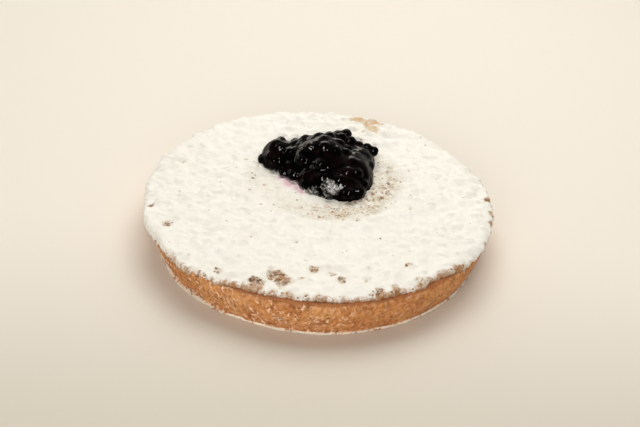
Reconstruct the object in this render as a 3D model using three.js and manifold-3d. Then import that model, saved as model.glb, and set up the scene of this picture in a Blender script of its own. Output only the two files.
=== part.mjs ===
// A round blueberry crumb pie: a shallow baked crust with a thin skirt at its foot, a layer of crumb
// topping that fills the crust and spills over its rim, and a heap of glazed blueberries spooned into a
// dip in the crumb, a little behind the middle.
// Millimetres, +Z up. The origin is the centre of the flat underside, and -Y is the front of the pie.

import * as THREE from "three";
import { mergeVertices } from "three/addons/utils/BufferGeometryUtils.js";
import Module from "manifold-3d";

// Crust
const FOOT_RADIUS = 113;
const RIM_RADIUS = 121.5;
const CRUST_HEIGHT = 29;
const RIM_WIDTH = 4.5;
const RIM_ROUNDING = 3.6;
const WALL_BULGE = 0.9;
const SKIRT_REACH = 2.2;
const SKIRT_THICKNESS = 1.3;
const RECESS_FLOOR = 22;
const WALL_UNEVENNESS = 0.7;
const WALL_PHASE = 0.4;
const WALL_STEPS = 5;
const RIM_STEPS = 3;
const CRUST_SEGMENTS = 96;

// Crumb topping
const PLATEAU_HEIGHT = 32.4;
const DOME_RISE = 1.4;
const SHOULDER_START = 108;
const SHOULDER_DROP = 1.3;
const CRUMB_PITCH = 8.5;
const CRUMB_RADIUS = 5.4;
const CRUMB_RELIEF = 1.5;
const SMALLEST_CRUMB = 0.7;
const LARGEST_CRUMB = 1.3;
const EDGE_UNEVENNESS = 0.8;
const EDGE_PHASE = 1.3;
const EDGE_OVERHANG = 2.6;
const CRUMB_RINGS = 25;

// Dip in the crumb, and the heap of berries in it
const DIP_CENTRE = new THREE.Vector2(2, 25);
const DIP_RADIUS = 62;
const DIP_FLOOR_RADIUS = 34;
const DIP_DEPTH = 2.6;
const BERRY_RADIUS = 4.5;
const BERRY_VARIATION = 0.1;
const BERRY_FLATNESS = 0.92;
const BERRY_SINK = 2.6;
const MOUND_ROUNDNESS = 3;
const BERRY_ROUNDNESS = 1;

// Clearance between two pieces that lie on each other
const GAP = 0.3;

const TURN = 2 * Math.PI;

// Stretches of the crumb's edge that lie behind the rim or spill over it: the middle's heading and the half
// width in degrees, and how far out the edge lies.
const EDGE_STRETCHES = [
  { heading: -79, spread: 40, reach: -4.6 },
  { heading: -146, spread: 20, reach: 2 },
];

// The jelly's mounds: centre, half width, half depth and height over the dip's floor.
const MOUNDS = [
  { x: 11, y: 27, width: 25, depth: 27, height: 23 },
  { x: 18, y: 12, width: 15, depth: 14, height: 13 },
  { x: -9, y: 36, width: 24, depth: 21, height: 19 },
  { x: -28, y: 43, width: 16.5, depth: 14, height: 14.5 },
  { x: 12, y: 50, width: 20, depth: 14, height: 21.5 },
  { x: 29, y: 50, width: 10, depth: 13, height: 13 },
  { x: 28, y: 27, width: 9.5, depth: 14, height: 12 },
];

// Berries that stand out at the heap's edge: the centre's place, and its height over the dip's floor.
const EDGE_BERRIES = [
  { x: -43, y: 41, height: 2.5 },
  { x: -35, y: 49, height: 10 },
  { x: -31, y: 51, height: 12 },
  { x: -20.5, y: 54, height: 11 },
  { x: -14, y: 54, height: 11.5 },
  { x: -9, y: 54, height: 14 },
  { x: -2, y: 56, height: 17 },
  { x: 4.5, y: 58, height: 16.5 },
  { x: 10.5, y: 60, height: 16 },
  { x: 16, y: 61, height: 17.5 },
  { x: 32, y: 58, height: 9 },
  { x: 37, y: 57, height: 7 },
  { x: -26, y: 57, height: 4.5 },
  { x: -4, y: 62, height: 7 },
  { x: 9, y: 65, height: 5.5 },
  { x: 24, y: 62, height: 7 },
];

// Berries that lie under the jelly and lift it, by their places.
const SUNK_BERRIES = [
  [-34, 34], [-24, 37], [-27, 26], [-14.5, 27], [-19, 22], [-10, 16], [0.5, 40], [9, 30], [-0.5, 19], [1, 10.5],
  [12.5, 8.5], [19, 15.5], [25, 16], [20, 1], [27, 4.5], [9.5, 50], [22, 25], [34, 35], [30, 13], [7, 1.5],
];

// Rises smoothly from 0 to 1 as value goes from low to high.
function ramp(low, high, value) {
  return THREE.MathUtils.smoothstep(value, low, high);
}

// A repeatable draw from 0 to 1 for a pair of whole numbers.
function draw(i, j) {
  const spread = Math.sin(i * 127.1 + j * 311.7) * 43758.5453;
  return spread - Math.floor(spread);
}

// The hand-pressed unevenness of the crust round the pie, from -1 to 1.
function unevenness(angle, phase) {
  const broad = 0.5 * Math.sin(3 * angle + phase);
  const middling = 0.3 * Math.sin(7 * angle + 2 * phase);
  const narrow = 0.2 * Math.sin(13 * angle + 5 * phase);
  return broad + middling + narrow;
}

// Rounded crumbs of different sizes, scattered one to a cell of a square grid.
function crumbRelief(x, y) {
  const column = Math.floor(x / CRUMB_PITCH);
  const row = Math.floor(y / CRUMB_PITCH);
  let relief = 0;
  for (let i = column - 1; i <= column + 1; i++) {
    for (let j = row - 1; j <= row + 1; j++) {
      const crumbX = (i + draw(i, j)) * CRUMB_PITCH;
      const crumbY = (j + draw(j, i + 31)) * CRUMB_PITCH;
      const size = THREE.MathUtils.lerp(SMALLEST_CRUMB, LARGEST_CRUMB, draw(i + 57, j - 13));
      const away = Math.hypot(x - crumbX, y - crumbY) / (size * CRUMB_RADIUS);
      if (away < 1) relief = Math.max(relief, size * CRUMB_RELIEF * Math.sqrt(1 - away * away));
    }
  }
  return relief;
}

// How far a place lies into the dip: 0 outside it, 1 on its floor.
function dipShare(x, y) {
  const away = Math.hypot(x - DIP_CENTRE.x, y - DIP_CENTRE.y);
  return 1 - ramp(DIP_FLOOR_RADIUS, DIP_RADIUS, away);
}

// The height of the crumb topping at a place: a low dome that falls off at the rim, with the dip in it.
function crumbHeight(x, y) {
  const radius = Math.hypot(x, y);
  const dome = DOME_RISE * (1 - (radius / RIM_RADIUS) ** 2);
  const shoulder = SHOULDER_DROP * ramp(SHOULDER_START, RIM_RADIUS, radius) ** 2;
  const dip = dipShare(x, y);
  return PLATEAU_HEIGHT + dome - shoulder - DIP_DEPTH * dip + crumbRelief(x, y) * (1 - dip);
}

// How far a stretch of the edge moves it at an angle, with soft ends.
function stretchReach({ heading, spread, reach }, angle) {
  const turned = THREE.MathUtils.radToDeg(angle) - heading;
  const away = Math.abs(THREE.MathUtils.euclideanModulo(turned + 180, 360) - 180);
  return reach * (1 - ramp(0.75 * spread, 1.25 * spread, away));
}

// The radius of the crumb's uneven edge, which lies over the crust's rim or just behind it.
function crumbEdgeRadius(angle) {
  const uneven = EDGE_UNEVENNESS * unevenness(2 * angle, EDGE_PHASE);
  return EDGE_STRETCHES.reduce((sum, stretch) => sum + stretchReach(stretch, angle), RIM_RADIUS + uneven);
}

// The height of the dip's floor under the heap.
function dipFloor() {
  return crumbHeight(DIP_CENTRE.x, DIP_CENTRE.y);
}

// The height of the heap's jelly at a place, or that of the dip's floor beside it.
function jellyHeight(x, y) {
  const rises = MOUNDS.map((mound) => {
    const inside = 1 - ((x - mound.x) / mound.width) ** 2 - ((y - mound.y) / mound.depth) ** 2;
    return mound.height * Math.sqrt(Math.max(inside, 0));
  });
  return dipFloor() + Math.max(...rises);
}

// The crust as a turned profile: flat underside, skirt, slanting wall, round rim and the crumb's recess.
function crustGeometry() {
  const profile = [new THREE.Vector2(0, 0)];
  const skirtRadius = FOOT_RADIUS + SKIRT_REACH;
  profile.push(new THREE.Vector2(skirtRadius, 0));
  profile.push(new THREE.Vector2(skirtRadius, SKIRT_THICKNESS));
  const wallTop = CRUST_HEIGHT - RIM_ROUNDING;
  for (let i = 0; i <= WALL_STEPS; i++) {
    const share = i / WALL_STEPS;
    const straight = THREE.MathUtils.lerp(FOOT_RADIUS, RIM_RADIUS, share);
    const bulge = WALL_BULGE * Math.sin(Math.PI * share);
    const height = THREE.MathUtils.lerp(SKIRT_THICKNESS, wallTop, share);
    profile.push(new THREE.Vector2(straight + bulge, height));
  }
  const lastOutside = profile.length + RIM_STEPS - 1;
  for (let i = 1; i <= RIM_STEPS; i++) {
    const turn = (Math.PI * i) / (2 * RIM_STEPS);
    const inward = RIM_ROUNDING * (1 - Math.cos(turn));
    profile.push(new THREE.Vector2(RIM_RADIUS - inward, wallTop + RIM_ROUNDING * Math.sin(turn)));
  }
  profile.push(new THREE.Vector2(RIM_RADIUS - RIM_WIDTH, CRUST_HEIGHT));
  profile.push(new THREE.Vector2(RIM_RADIUS - RIM_WIDTH, RECESS_FLOOR));
  profile.push(new THREE.Vector2(0, RECESS_FLOOR));
  const geometry = new THREE.LatheGeometry(profile, CRUST_SEGMENTS).rotateX(Math.PI / 2);
  const place = geometry.getAttribute("position");
  for (let i = 0; i < place.count; i++) {
    const along = i % profile.length;
    if (along < 1 || along > lastOutside) continue;
    const angle = Math.atan2(place.getY(i), place.getX(i));
    const grown = 1 + (WALL_UNEVENNESS * unevenness(angle, WALL_PHASE)) / profile[along].x;
    place.setXY(i, place.getX(i) * grown, place.getY(i) * grown);
  }
  return closed(geometry);
}

// A disc with the crumb's bumpy top, raised by rise. Its sides run down the rings of underside, from the
// outer edge inwards, each a radius for an angle and a height, and a flat face closes it.
function crumbGeometry(rise, underside) {
  const points = [0, 0, crumbHeight(0, 0) + rise];
  const faces = [];
  let inner = [0];
  for (let ring = 1; ring <= CRUMB_RINGS; ring++) {
    const outer = [];
    for (let step = 0; step < 6 * ring; step++) {
      const angle = (TURN * step) / (6 * ring);
      const radius = (crumbEdgeRadius(angle) * ring) / CRUMB_RINGS;
      const x = radius * Math.cos(angle);
      const y = radius * Math.sin(angle);
      outer.push(points.length / 3);
      points.push(x, y, crumbHeight(x, y) + rise);
    }
    // Each sixth of the ring has one vertex more than the same sixth of the ring inside it.
    for (let sixth = 0; sixth < 6; sixth++) {
      for (let i = 0; i < ring; i++) {
        const from = outer[sixth * ring + i];
        const to = outer[(sixth * ring + i + 1) % outer.length];
        const start = inner[(sixth * (ring - 1) + i) % inner.length];
        faces.push(start, from, to);
        if (i < ring - 1) faces.push(start, to, inner[(sixth * (ring - 1) + i + 1) % inner.length]);
      }
    }
    inner = outer;
  }
  let upper = inner;
  for (const { radius, height } of underside) {
    const lower = [];
    for (let step = 0; step < upper.length; step++) {
      const angle = (TURN * step) / upper.length;
      lower.push(points.length / 3);
      points.push(radius(angle) * Math.cos(angle), radius(angle) * Math.sin(angle), height);
    }
    for (let step = 0; step < upper.length; step++) {
      const next = (step + 1) % upper.length;
      faces.push(lower[step], lower[next], upper[next], lower[step], upper[next], upper[step]);
    }
    upper = lower;
  }
  const middle = points.length / 3;
  points.push(0, 0, underside.at(-1).height);
  for (let step = 0; step < upper.length; step++) {
    faces.push(middle, upper[(step + 1) % upper.length], upper[step]);
  }
  const geometry = new THREE.BufferGeometry();
  geometry.setAttribute("position", new THREE.Float32BufferAttribute(points, 3));
  geometry.setIndex(faces);
  return geometry;
}

// One closed ball, stretched to three half sizes, at a place.
function ballGeometry(roundness, halfSizes, place) {
  const ball = new THREE.IcosahedronGeometry(1, roundness);
  return closed(ball.scale(...halfSizes).translate(...place));
}

// The berries as balls: those at the edge, and those sunk into the jelly.
function berryGeometries() {
  const centres = EDGE_BERRIES.map(({ x, y, height }) => [x, y, dipFloor() + height]);
  for (const [x, y] of SUNK_BERRIES) {
    centres.push([x, y, Math.max(dipFloor() + BERRY_RADIUS, jellyHeight(x, y)) - BERRY_SINK]);
  }
  return centres.map((centre, i) => {
    const radius = BERRY_RADIUS * (1 + BERRY_VARIATION * (2 * draw(i, 5) - 1));
    return ballGeometry(BERRY_ROUNDNESS, [radius, radius, radius * BERRY_FLATNESS], centre);
  });
}

// The heap: mounds of jelly with the berries fused on, cut to lie on the crumb in its dip.
function heapGeometry(wasm) {
  const mounds = MOUNDS.map(({ x, y, width, depth, height }) =>
    ballGeometry(MOUND_ROUNDNESS, [width, depth, height], [x, y, dipFloor()]),
  );
  const balls = [...mounds, ...berryGeometries()];
  const heap = balls.map((ball) => solidOf(wasm, ball)).reduce((whole, ball) => whole.add(ball));
  const crumbBelow = crumbGeometry(GAP, [{ radius: () => RIM_RADIUS, height: 0 }]);
  return geometryOf(heap.subtract(solidOf(wasm, crumbBelow)));
}

// A geometry as a closed indexed mesh with shared vertices.
function closed(geometry) {
  geometry.deleteAttribute("normal");
  geometry.deleteAttribute("uv");
  return mergeVertices(geometry, 1e-3);
}

// A closed geometry as a solid that can be joined and cut.
function solidOf(wasm, geometry) {
  const mesh = new wasm.Mesh({
    numProp: 3,
    vertProperties: new Float32Array(geometry.getAttribute("position").array),
    triVerts: new Uint32Array(geometry.index.array),
  });
  return new wasm.Manifold(mesh);
}

// A joined or cut solid as a geometry.
function geometryOf(solid) {
  const { vertProperties, triVerts } = solid.getMesh();
  const geometry = new THREE.BufferGeometry();
  geometry.setAttribute("position", new THREE.Float32BufferAttribute(vertProperties, 3));
  geometry.setIndex(new THREE.BufferAttribute(triVerts, 1));
  return geometry;
}

// One named piece of the pie with its own finish.
function piece(name, geometry, color, roughness) {
  geometry.computeVertexNormals();
  const material = new THREE.MeshStandardMaterial({ color, roughness, metalness: 0 });
  const mesh = new THREE.Mesh(geometry, material);
  mesh.name = name;
  return mesh;
}

const wasm = await Module();
wasm.setup();

const recessRadius = RIM_RADIUS - RIM_WIDTH - GAP;
const overRim = (angle) => Math.max(crumbEdgeRadius(angle) - EDGE_OVERHANG, recessRadius + GAP);
const inRecess = () => recessRadius;
const crumbUnderside = [
  { radius: overRim, height: CRUST_HEIGHT + GAP },
  { radius: inRecess, height: CRUST_HEIGHT + GAP },
  { radius: inRecess, height: RECESS_FLOOR + GAP },
];

const pie = new THREE.Group();
pie.add(piece("crust", crustGeometry(), 0xb87946, 0.8));
pie.add(piece("crumb_topping", crumbGeometry(0, crumbUnderside), 0xf3efe6, 0.95));
pie.add(piece("blueberry_topping", heapGeometry(wasm), 0x120a12, 0.15));

export default pie;
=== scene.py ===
"""The looks of a sugared blueberry crumb pie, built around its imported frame.

Sizes and places are in millimetres over the pie: +Z is up, -Y is the front, and the origin is the centre of
the underside. Meshes are modelled in millimetres and brought to metres as they become pieces.
"""

from __future__ import annotations

import logging
import math
from dataclasses import dataclass, field
from enum import Enum

import bmesh
import bpy
import numpy as np
from mathutils import Matrix, Vector, noise

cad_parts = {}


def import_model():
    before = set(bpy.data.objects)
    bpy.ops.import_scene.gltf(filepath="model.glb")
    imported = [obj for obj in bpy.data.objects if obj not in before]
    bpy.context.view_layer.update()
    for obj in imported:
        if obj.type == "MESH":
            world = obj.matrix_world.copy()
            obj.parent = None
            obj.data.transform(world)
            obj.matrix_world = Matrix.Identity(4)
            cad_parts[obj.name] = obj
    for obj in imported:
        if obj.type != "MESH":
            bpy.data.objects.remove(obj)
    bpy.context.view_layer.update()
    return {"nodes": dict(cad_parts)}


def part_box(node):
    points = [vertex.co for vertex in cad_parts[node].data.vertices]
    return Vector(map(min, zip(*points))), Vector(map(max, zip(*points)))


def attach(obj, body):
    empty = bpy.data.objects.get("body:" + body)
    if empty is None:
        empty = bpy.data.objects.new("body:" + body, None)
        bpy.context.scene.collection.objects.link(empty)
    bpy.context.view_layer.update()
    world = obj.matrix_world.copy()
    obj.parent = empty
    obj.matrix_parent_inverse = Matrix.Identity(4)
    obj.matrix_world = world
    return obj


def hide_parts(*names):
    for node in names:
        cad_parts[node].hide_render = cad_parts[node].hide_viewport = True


MM = 0.001
BODY = "root"

# Values that a mesh keeps at its vertices for its material
SUGAR = "sugar"
STAIN = "stain"
TONE = "tone"
# Where the crust's pale flecks go: partly flour, partly painted highlights on its grains
FLOUR_AND_HIGHLIGHT = "flour_and_highlight"
FRESH = "fresh"

# The repeatable draw of the frame's solids, and their waves round the rim: depth, count, share of the phase
DRAW_STEPS = (127.1, 311.7)
DRAW_SPREAD = 43758.5453
RING_WAVES = ((0.5, 3.0, 1.0), (0.3, 7.0, 2.0), (0.2, 13.0, 5.0))

# How cloudy unevenness falls off, and how much finer each octave is
CLOUD_FALLOFF = 1.0
CLOUD_STEP = 2.0

# Where a stretch of an edge fades out, in shares of its half width
SOFT_ENDS = (0.75, 1.25)

# Where a bare patch starts to fade, and how far its edge is jittered, in shares of its radius
PATCH_CORE = 0.35
PATCH_JITTER = 0.35

# The sockets of the icing sugar's node group
SUGAR_SOCKETS = (
    ("Surface", "INPUT", "NodeSocketColor"),
    ("Cover", "INPUT", "NodeSocketFloat"),
    ("Scatter", "INPUT", "NodeSocketFloat"),
    ("Film", "INPUT", "NodeSocketFloat"),
    ("Color", "OUTPUT", "NodeSocketColor"),
    ("Mask", "OUTPUT", "NodeSocketFloat"),
    ("Grain", "OUTPUT", "NodeSocketFloat"),
)

Array = np.ndarray
Mesh = bmesh.types.BMesh
Socket = bpy.types.NodeSocket
Pair = tuple[float, float]
Triple = tuple[float, float, float]
Colour = tuple[float, float, float, float]
Span = tuple[float, ...]
Clouds = tuple[float, ...]
Layers = tuple[tuple[float, float, int], ...]
log = logging.getLogger("pie")


class Solid(Enum):
    """The frame's nodes, whose names are also those of its material slots."""

    CRUST = "crust"
    CRUMB = "crumb_topping"
    HEAP = "blueberry_topping"


def ramp(low: float, high: float, value: Array) -> Array:
    """Rises smoothly from 0 to 1 as value goes from low to high.

    Args:
        low: Value at and below which the result is 0.
        high: Value at and above which the result is 1.
        value: Values to look up.

    Returns:
        The shares, from 0 to 1.
    """
    share = np.clip((value - low) / (high - low), 0.0, 1.0)
    return share * share * (3.0 - 2.0 * share)


def draw(i: Array, j: Array) -> Array:
    """A repeatable draw from 0 to 1 for a pair of whole numbers, as the frame's solids use it."""
    spread = np.sin(i * DRAW_STEPS[0] + j * DRAW_STEPS[1]) * DRAW_SPREAD
    return spread - np.floor(spread)


def rough(places: Array, size: float, octaves: int = 3) -> Array:
    """Cloudy unevenness, from about -1 to 1, at places in space.

    Args:
        places: Points, one to a row.
        size: Width of the broadest clouds, in millimetres.
        octaves: How many finer layers of clouds are added up.

    Returns:
        One value for each point.
    """
    return np.array([noise.fractal(Vector(p), CLOUD_FALLOFF, CLOUD_STEP, octaves) for p in places / size])


def layered(places: Array, layers: Layers) -> Array:
    """Adds up layers of cloudy unevenness.

    Args:
        places: Points, one to a row.
        layers: Each layer's depth, the width of its clouds in millimetres, and its octaves.

    Returns:
        One value for each point.
    """
    return sum(depth * rough(places, size, octaves) for depth, size, octaves in layers)


def flat_places(x: Array, y: Array) -> Array:
    """Points over the pie, all at the level of its underside, one to a row."""
    return np.column_stack([x, y, np.zeros_like(x)])


def polar(x: Array, y: Array) -> tuple[Array, Array]:
    """Distances and headings of places from the middle."""
    return np.hypot(x, y), np.arctan2(y, x)


def at_heading(reach: Array, turn: Array) -> tuple[Array, Array]:
    """Places at distances and headings from the middle."""
    return reach * np.cos(turn), reach * np.sin(turn)


def ring_unevenness(angle: Array, phase: float) -> Array:
    """The hand-pressed unevenness of the pie round its rim, from -1 to 1."""
    return sum(depth * np.sin(count * angle + share * phase) for depth, count, share in RING_WAVES)


@dataclass(frozen=True)
class PieForm:
    """The pie's main form, as the frame's solids have it."""

    rim_radius: float
    crust_height: float
    foot_radius: float = 113.0
    rim_width: float = 4.5
    rim_rounding: float = 3.6
    recess_floor: float = 22.0
    plateau_height: float = 32.4
    dome_rise: float = 1.4
    shoulder_start: float = 108.0
    shoulder_drop: float = 1.3
    dip_centre: Pair = (2.0, 25.0)
    dip_radius: float = 62.0
    dip_floor_radius: float = 34.0
    dip_depth: float = 2.6
    crumb_pitch: float = 8.5
    crumb_radius: float = 5.4
    crumb_relief: float = 1.5
    crumb_size: Pair = (0.7, 1.3)
    place_draw: int = 31
    size_draw: tuple[int, int] = (57, -13)

    @classmethod
    def from_frame(cls) -> PieForm:
        """Reads the crust's radius and height from the frame."""
        low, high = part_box(Solid.CRUST.value)
        return cls(rim_radius=(high.x - low.x) / 2.0 / MM, crust_height=high.z / MM)

    def dip_share(self, x: Array, y: Array) -> Array:
        """How far places lie into the dip: 0 outside it, 1 on its floor."""
        away = np.hypot(x - self.dip_centre[0], y - self.dip_centre[1])
        return 1.0 - ramp(self.dip_floor_radius, self.dip_radius, away)

    def dip_floor(self) -> float:
        """Height of the dip's floor under the heap."""
        x, y = (np.array([value]) for value in self.dip_centre)
        return float(self.base_height(x, y)[0])

    def rim_top(self, radius: float) -> float:
        """Height of the crust's rounded rim at a radius."""
        past = min(max(radius - self.rim_radius + self.rim_rounding, 0.0), self.rim_rounding)
        return self.crust_height - self.rim_rounding + math.sqrt(self.rim_rounding**2 - past**2)

    def base_height(self, x: Array, y: Array) -> Array:
        """Height of the crumb's broad form: a low dome with a dip in it, which falls off at the rim.

        Args:
            x: Places across the pie.
            y: Places along the pie.

        Returns:
            The heights.
        """
        radius = np.hypot(x, y)
        dome = self.dome_rise * (1.0 - (radius / self.rim_radius) ** 2)
        shoulder = self.shoulder_drop * ramp(self.shoulder_start, self.rim_radius, radius) ** 2
        return self.plateau_height + dome - shoulder - self.dip_depth * self.dip_share(x, y)

    def crumb_bumps(self, x: Array, y: Array, softness: float) -> Array:
        """Rounded crumbs of different sizes, scattered one to a cell of a square grid.

        Args:
            x: Places across the pie.
            y: Places along the pie.
            softness: 0.5 for round crumbs, and more for crumbs that fade into what lies between them.

        Returns:
            Height of the crumbs over what lies between them.
        """
        column = np.floor(x / self.crumb_pitch)
        row = np.floor(y / self.crumb_pitch)
        smallest, largest = self.crumb_size
        relief = np.zeros_like(x)
        for i in (column - 1, column, column + 1):
            for j in (row - 1, row, row + 1):
                crumb_x = (i + draw(i, j)) * self.crumb_pitch
                crumb_y = (j + draw(j, i + self.place_draw)) * self.crumb_pitch
                size = smallest + (largest - smallest) * draw(i + self.size_draw[0], j + self.size_draw[1])
                away = np.hypot(x - crumb_x, y - crumb_y) / (size * self.crumb_radius)
                bump = size * self.crumb_relief * np.clip(1.0 - away**2, 0.0, 1.0) ** softness
                relief = np.hypot(relief, bump)
        return relief


class ShaderSheet:
    """Adds and joins the nodes of one material or node group."""

    cloud_roughness = 0.55

    def __init__(self, tree: bpy.types.NodeTree) -> None:
        """Starts on an empty tree.

        Args:
            tree: The tree, which is cleared.
        """
        self.tree = tree
        self.tree.nodes.clear()
        self._place: Socket | None = None

    def add(self, kind: str, inputs: dict | None = None, **settings: object) -> bpy.types.Node:
        """Adds one node.

        Args:
            kind: The node's type.
            inputs: Values or sockets for its inputs, by name or number.
            **settings: Its other settings.

        Returns:
            The new node.
        """
        node = self.tree.nodes.new(kind)
        for name, value in settings.items():
            setattr(node, name, value)
        for key, value in (inputs or {}).items():
            self.feed(node.inputs[key], value)
        return node

    def feed(self, socket: Socket, value: object) -> None:
        """Joins a socket to an input, or sets the input's own value.

        Args:
            socket: The input.
            value: The socket to join to it, or its value.
        """
        if isinstance(value, bpy.types.NodeSocket):
            self.tree.links.new(value, socket)
        else:
            socket.default_value = value

    def place(self) -> Socket:
        """The piece's own coordinates, in metres."""
        if self._place is None:
            self._place = self.add("ShaderNodeTexCoord").outputs["Object"]
        return self._place

    def clouds(
        self, size: float, detail: float = 3.0, distortion: float = 0.0, flatness: float = 1.0
    ) -> Socket:
        """Adds cloudy noise.

        Args:
            size: Width of the clouds, in millimetres.
            detail: How many finer layers are added.
            distortion: How far the clouds are twisted.
            flatness: How many times wider than high the clouds are.

        Returns:
            The noise, from 0 to 1.
        """
        place = self.place()
        if flatness != 1.0:
            squeeze = {0: place, 1: (1.0, 1.0, flatness)}
            place = self.add("ShaderNodeVectorMath", squeeze, operation="MULTIPLY").outputs[0]
        inputs = {
            "Vector": place,
            "Scale": 1.0 / (size * MM),
            "Detail": detail,
            "Roughness": self.cloud_roughness,
            "Distortion": distortion,
        }
        return self.add("ShaderNodeTexNoise", inputs).outputs[0]

    def pores(self, size: float) -> Socket:
        """Distance from scattered points, in units of their spacing of a size in millimetres."""
        inputs = {"Vector": self.place(), "Scale": 1.0 / (size * MM)}
        return self.add("ShaderNodeTexVoronoi", inputs).outputs["Distance"]

    def attribute(self, name: str) -> Socket:
        """A value that the mesh keeps at its vertices."""
        return self.add("ShaderNodeAttribute", attribute_name=name).outputs["Fac"]

    def span(self, value: object, low: object, high: object, start: float = 0.0, end: float = 1.0) -> Socket:
        """Goes smoothly from start to end as value goes from low to high.

        Args:
            value: The socket to look up.
            low: Where the way starts.
            high: Where it ends.
            start: The result at and below low.
            end: The result at and above high.

        Returns:
            The result.
        """
        inputs = {"Value": value, "From Min": low, "From Max": high, "To Min": start, "To Max": end}
        return self.add("ShaderNodeMapRange", inputs, interpolation_type="SMOOTHSTEP").outputs["Result"]

    def math(self, operation: str, first: object, second: object, third: object = None) -> Socket:
        """One step of arithmetic.

        Args:
            operation: The step's name.
            first: First value or socket.
            second: Second value or socket.
            third: Third value or socket, for a step that has one.

        Returns:
            The result.
        """
        inputs = {0: first, 1: second}
        if third is not None:
            inputs[2] = third
        return self.add("ShaderNodeMath", inputs, operation=operation).outputs[0]

    def times(self, first: object, second: object) -> Socket:
        """The product of two values."""
        return self.math("MULTIPLY", first, second)

    def blend(self, share: object, first: object, second: object) -> Socket:
        """A colour that goes from the first to the second as share goes from 0 to 1."""
        return self.add("ShaderNodeMix", {0: share, 6: first, 7: second}, data_type="RGBA").outputs[2]

    def bump(self, height: object, depth: float, under: object | None = None) -> Socket:
        """A normal for low relief.

        Args:
            height: The relief, from 0 to 1.
            depth: Its depth in millimetres.
            under: The normal of the relief that it lies on, if any.

        Returns:
            The normal.
        """
        inputs = {"Height": height, "Distance": depth * MM, "Strength": 1.0}
        if under is not None:
            inputs["Normal"] = under
        return self.add("ShaderNodeBump", inputs).outputs["Normal"]

    def surface(self, **inputs: object) -> None:
        """Adds the surface's shader and the output.

        Args:
            **inputs: Values or sockets of the shader, with _ for the spaces in their names.
        """
        named = {name.replace("_", " "): value for name, value in inputs.items()}
        shader = self.add("ShaderNodeBsdfPrincipled", named)
        self.add("ShaderNodeOutputMaterial", {"Surface": shader.outputs[0]})


@dataclass(frozen=True)
class IcingSugar:
    """The icing sugar that lies on several surfaces, as one node group that they share, with painted shade
    between its grains.
    """

    name: str = "icing_sugar"
    white: Colour = (0.95, 0.93, 0.875, 1.0)
    # Painted shade: the colour that the sugar takes in the hollows between its grains.
    hollow: Colour = (0.89, 0.865, 0.80, 1.0)
    clumps: Clouds = (1.9, 2.0)
    clump_weight: float = 1.9
    grains: Clouds = (0.5, 2.0)
    grain_weight: float = 0.8
    least_cover: float = 0.12
    threshold: float = 0.5
    softness: float = 0.12
    film_start: float = 0.02
    shading: Span = (0.3, 0.62)

    def group(self) -> bpy.types.NodeTree:
        """Makes the node group the first time, and gives the same one after that.

        Returns:
            The node group.
        """
        made = bpy.data.node_groups.get(self.name)
        if made is not None:
            return made
        tree = bpy.data.node_groups.new(self.name, "ShaderNodeTree")
        sheet = ShaderSheet(tree)
        for name, side, kind in SUGAR_SOCKETS:
            tree.interface.new_socket(name, in_out=side, socket_type=kind)
        given = sheet.add("NodeGroupInput").outputs
        clumps = sheet.clouds(*self.clumps)
        grains = sheet.clouds(*self.grains)
        coarse = sheet.math("MULTIPLY_ADD", clumps, self.clump_weight, -0.5 * self.clump_weight)
        fine = sheet.math("MULTIPLY_ADD", grains, self.grain_weight, -0.5 * self.grain_weight)
        scatter = sheet.times(given["Scatter"], sheet.span(given["Cover"], 0.0, self.least_cover))
        cover = sheet.math("MULTIPLY_ADD", sheet.math("ADD", coarse, fine), scatter, given["Cover"])
        mask = sheet.span(cover, self.threshold - self.softness, self.threshold + self.softness)
        film = sheet.times(sheet.span(cover, self.film_start, self.threshold), given["Film"])
        # Painted shade: the sugar is darker where its grains dip, in the hollows between them.
        sugar = sheet.blend(sheet.span(grains, *self.shading), self.hollow, self.white)
        colour = sheet.blend(sheet.math("MAXIMUM", mask, film), given["Surface"], sugar)
        grain = sheet.times(mask, grains)
        sheet.add("NodeGroupOutput", {"Color": colour, "Mask": mask, "Grain": grain})
        return tree

    def dust(self, sheet: ShaderSheet, surface: object, cover: object, scatter: object, film: float) -> dict:
        """Lays sugar on a surface's colour.

        Args:
            sheet: The material's sheet.
            surface: Colour of the bare surface.
            cover: How much sugar lies there: 0 for none, 1 for a whole layer.
            scatter: How far the sugar's edge is broken up into grains.
            film: How much a thin film of sugar pales what lies under it.

        Returns:
            The sockets Color, Mask and Grain.
        """
        inputs = {"Surface": surface, "Cover": cover, "Scatter": scatter, "Film": film}
        node = sheet.tree.nodes.new("ShaderNodeGroup")
        node.node_tree = self.group()
        for name, value in inputs.items():
            sheet.feed(node.inputs[name], value)
        return {name: node.outputs[name] for name in ("Color", "Mask", "Grain")}


@dataclass(frozen=True)
class Finish:
    """The look of one kind of surface.

    In a finish, clouds are given by size, detail, distortion and flatness, and spans by the two ends of a
    way and the results at them.
    """

    name: str
    sugar: IcingSugar = field(default_factory=IcingSugar)

    def material(self) -> bpy.types.Material:
        """Makes the material.

        Returns:
            The material.
        """
        made = bpy.data.materials.new(self.name)
        made.use_nodes = True
        self.paint(ShaderSheet(made.node_tree))
        return made

    def paint(self, sheet: ShaderSheet) -> None:
        """Adds the finish's own nodes to the material's sheet."""
        raise NotImplementedError


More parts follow.
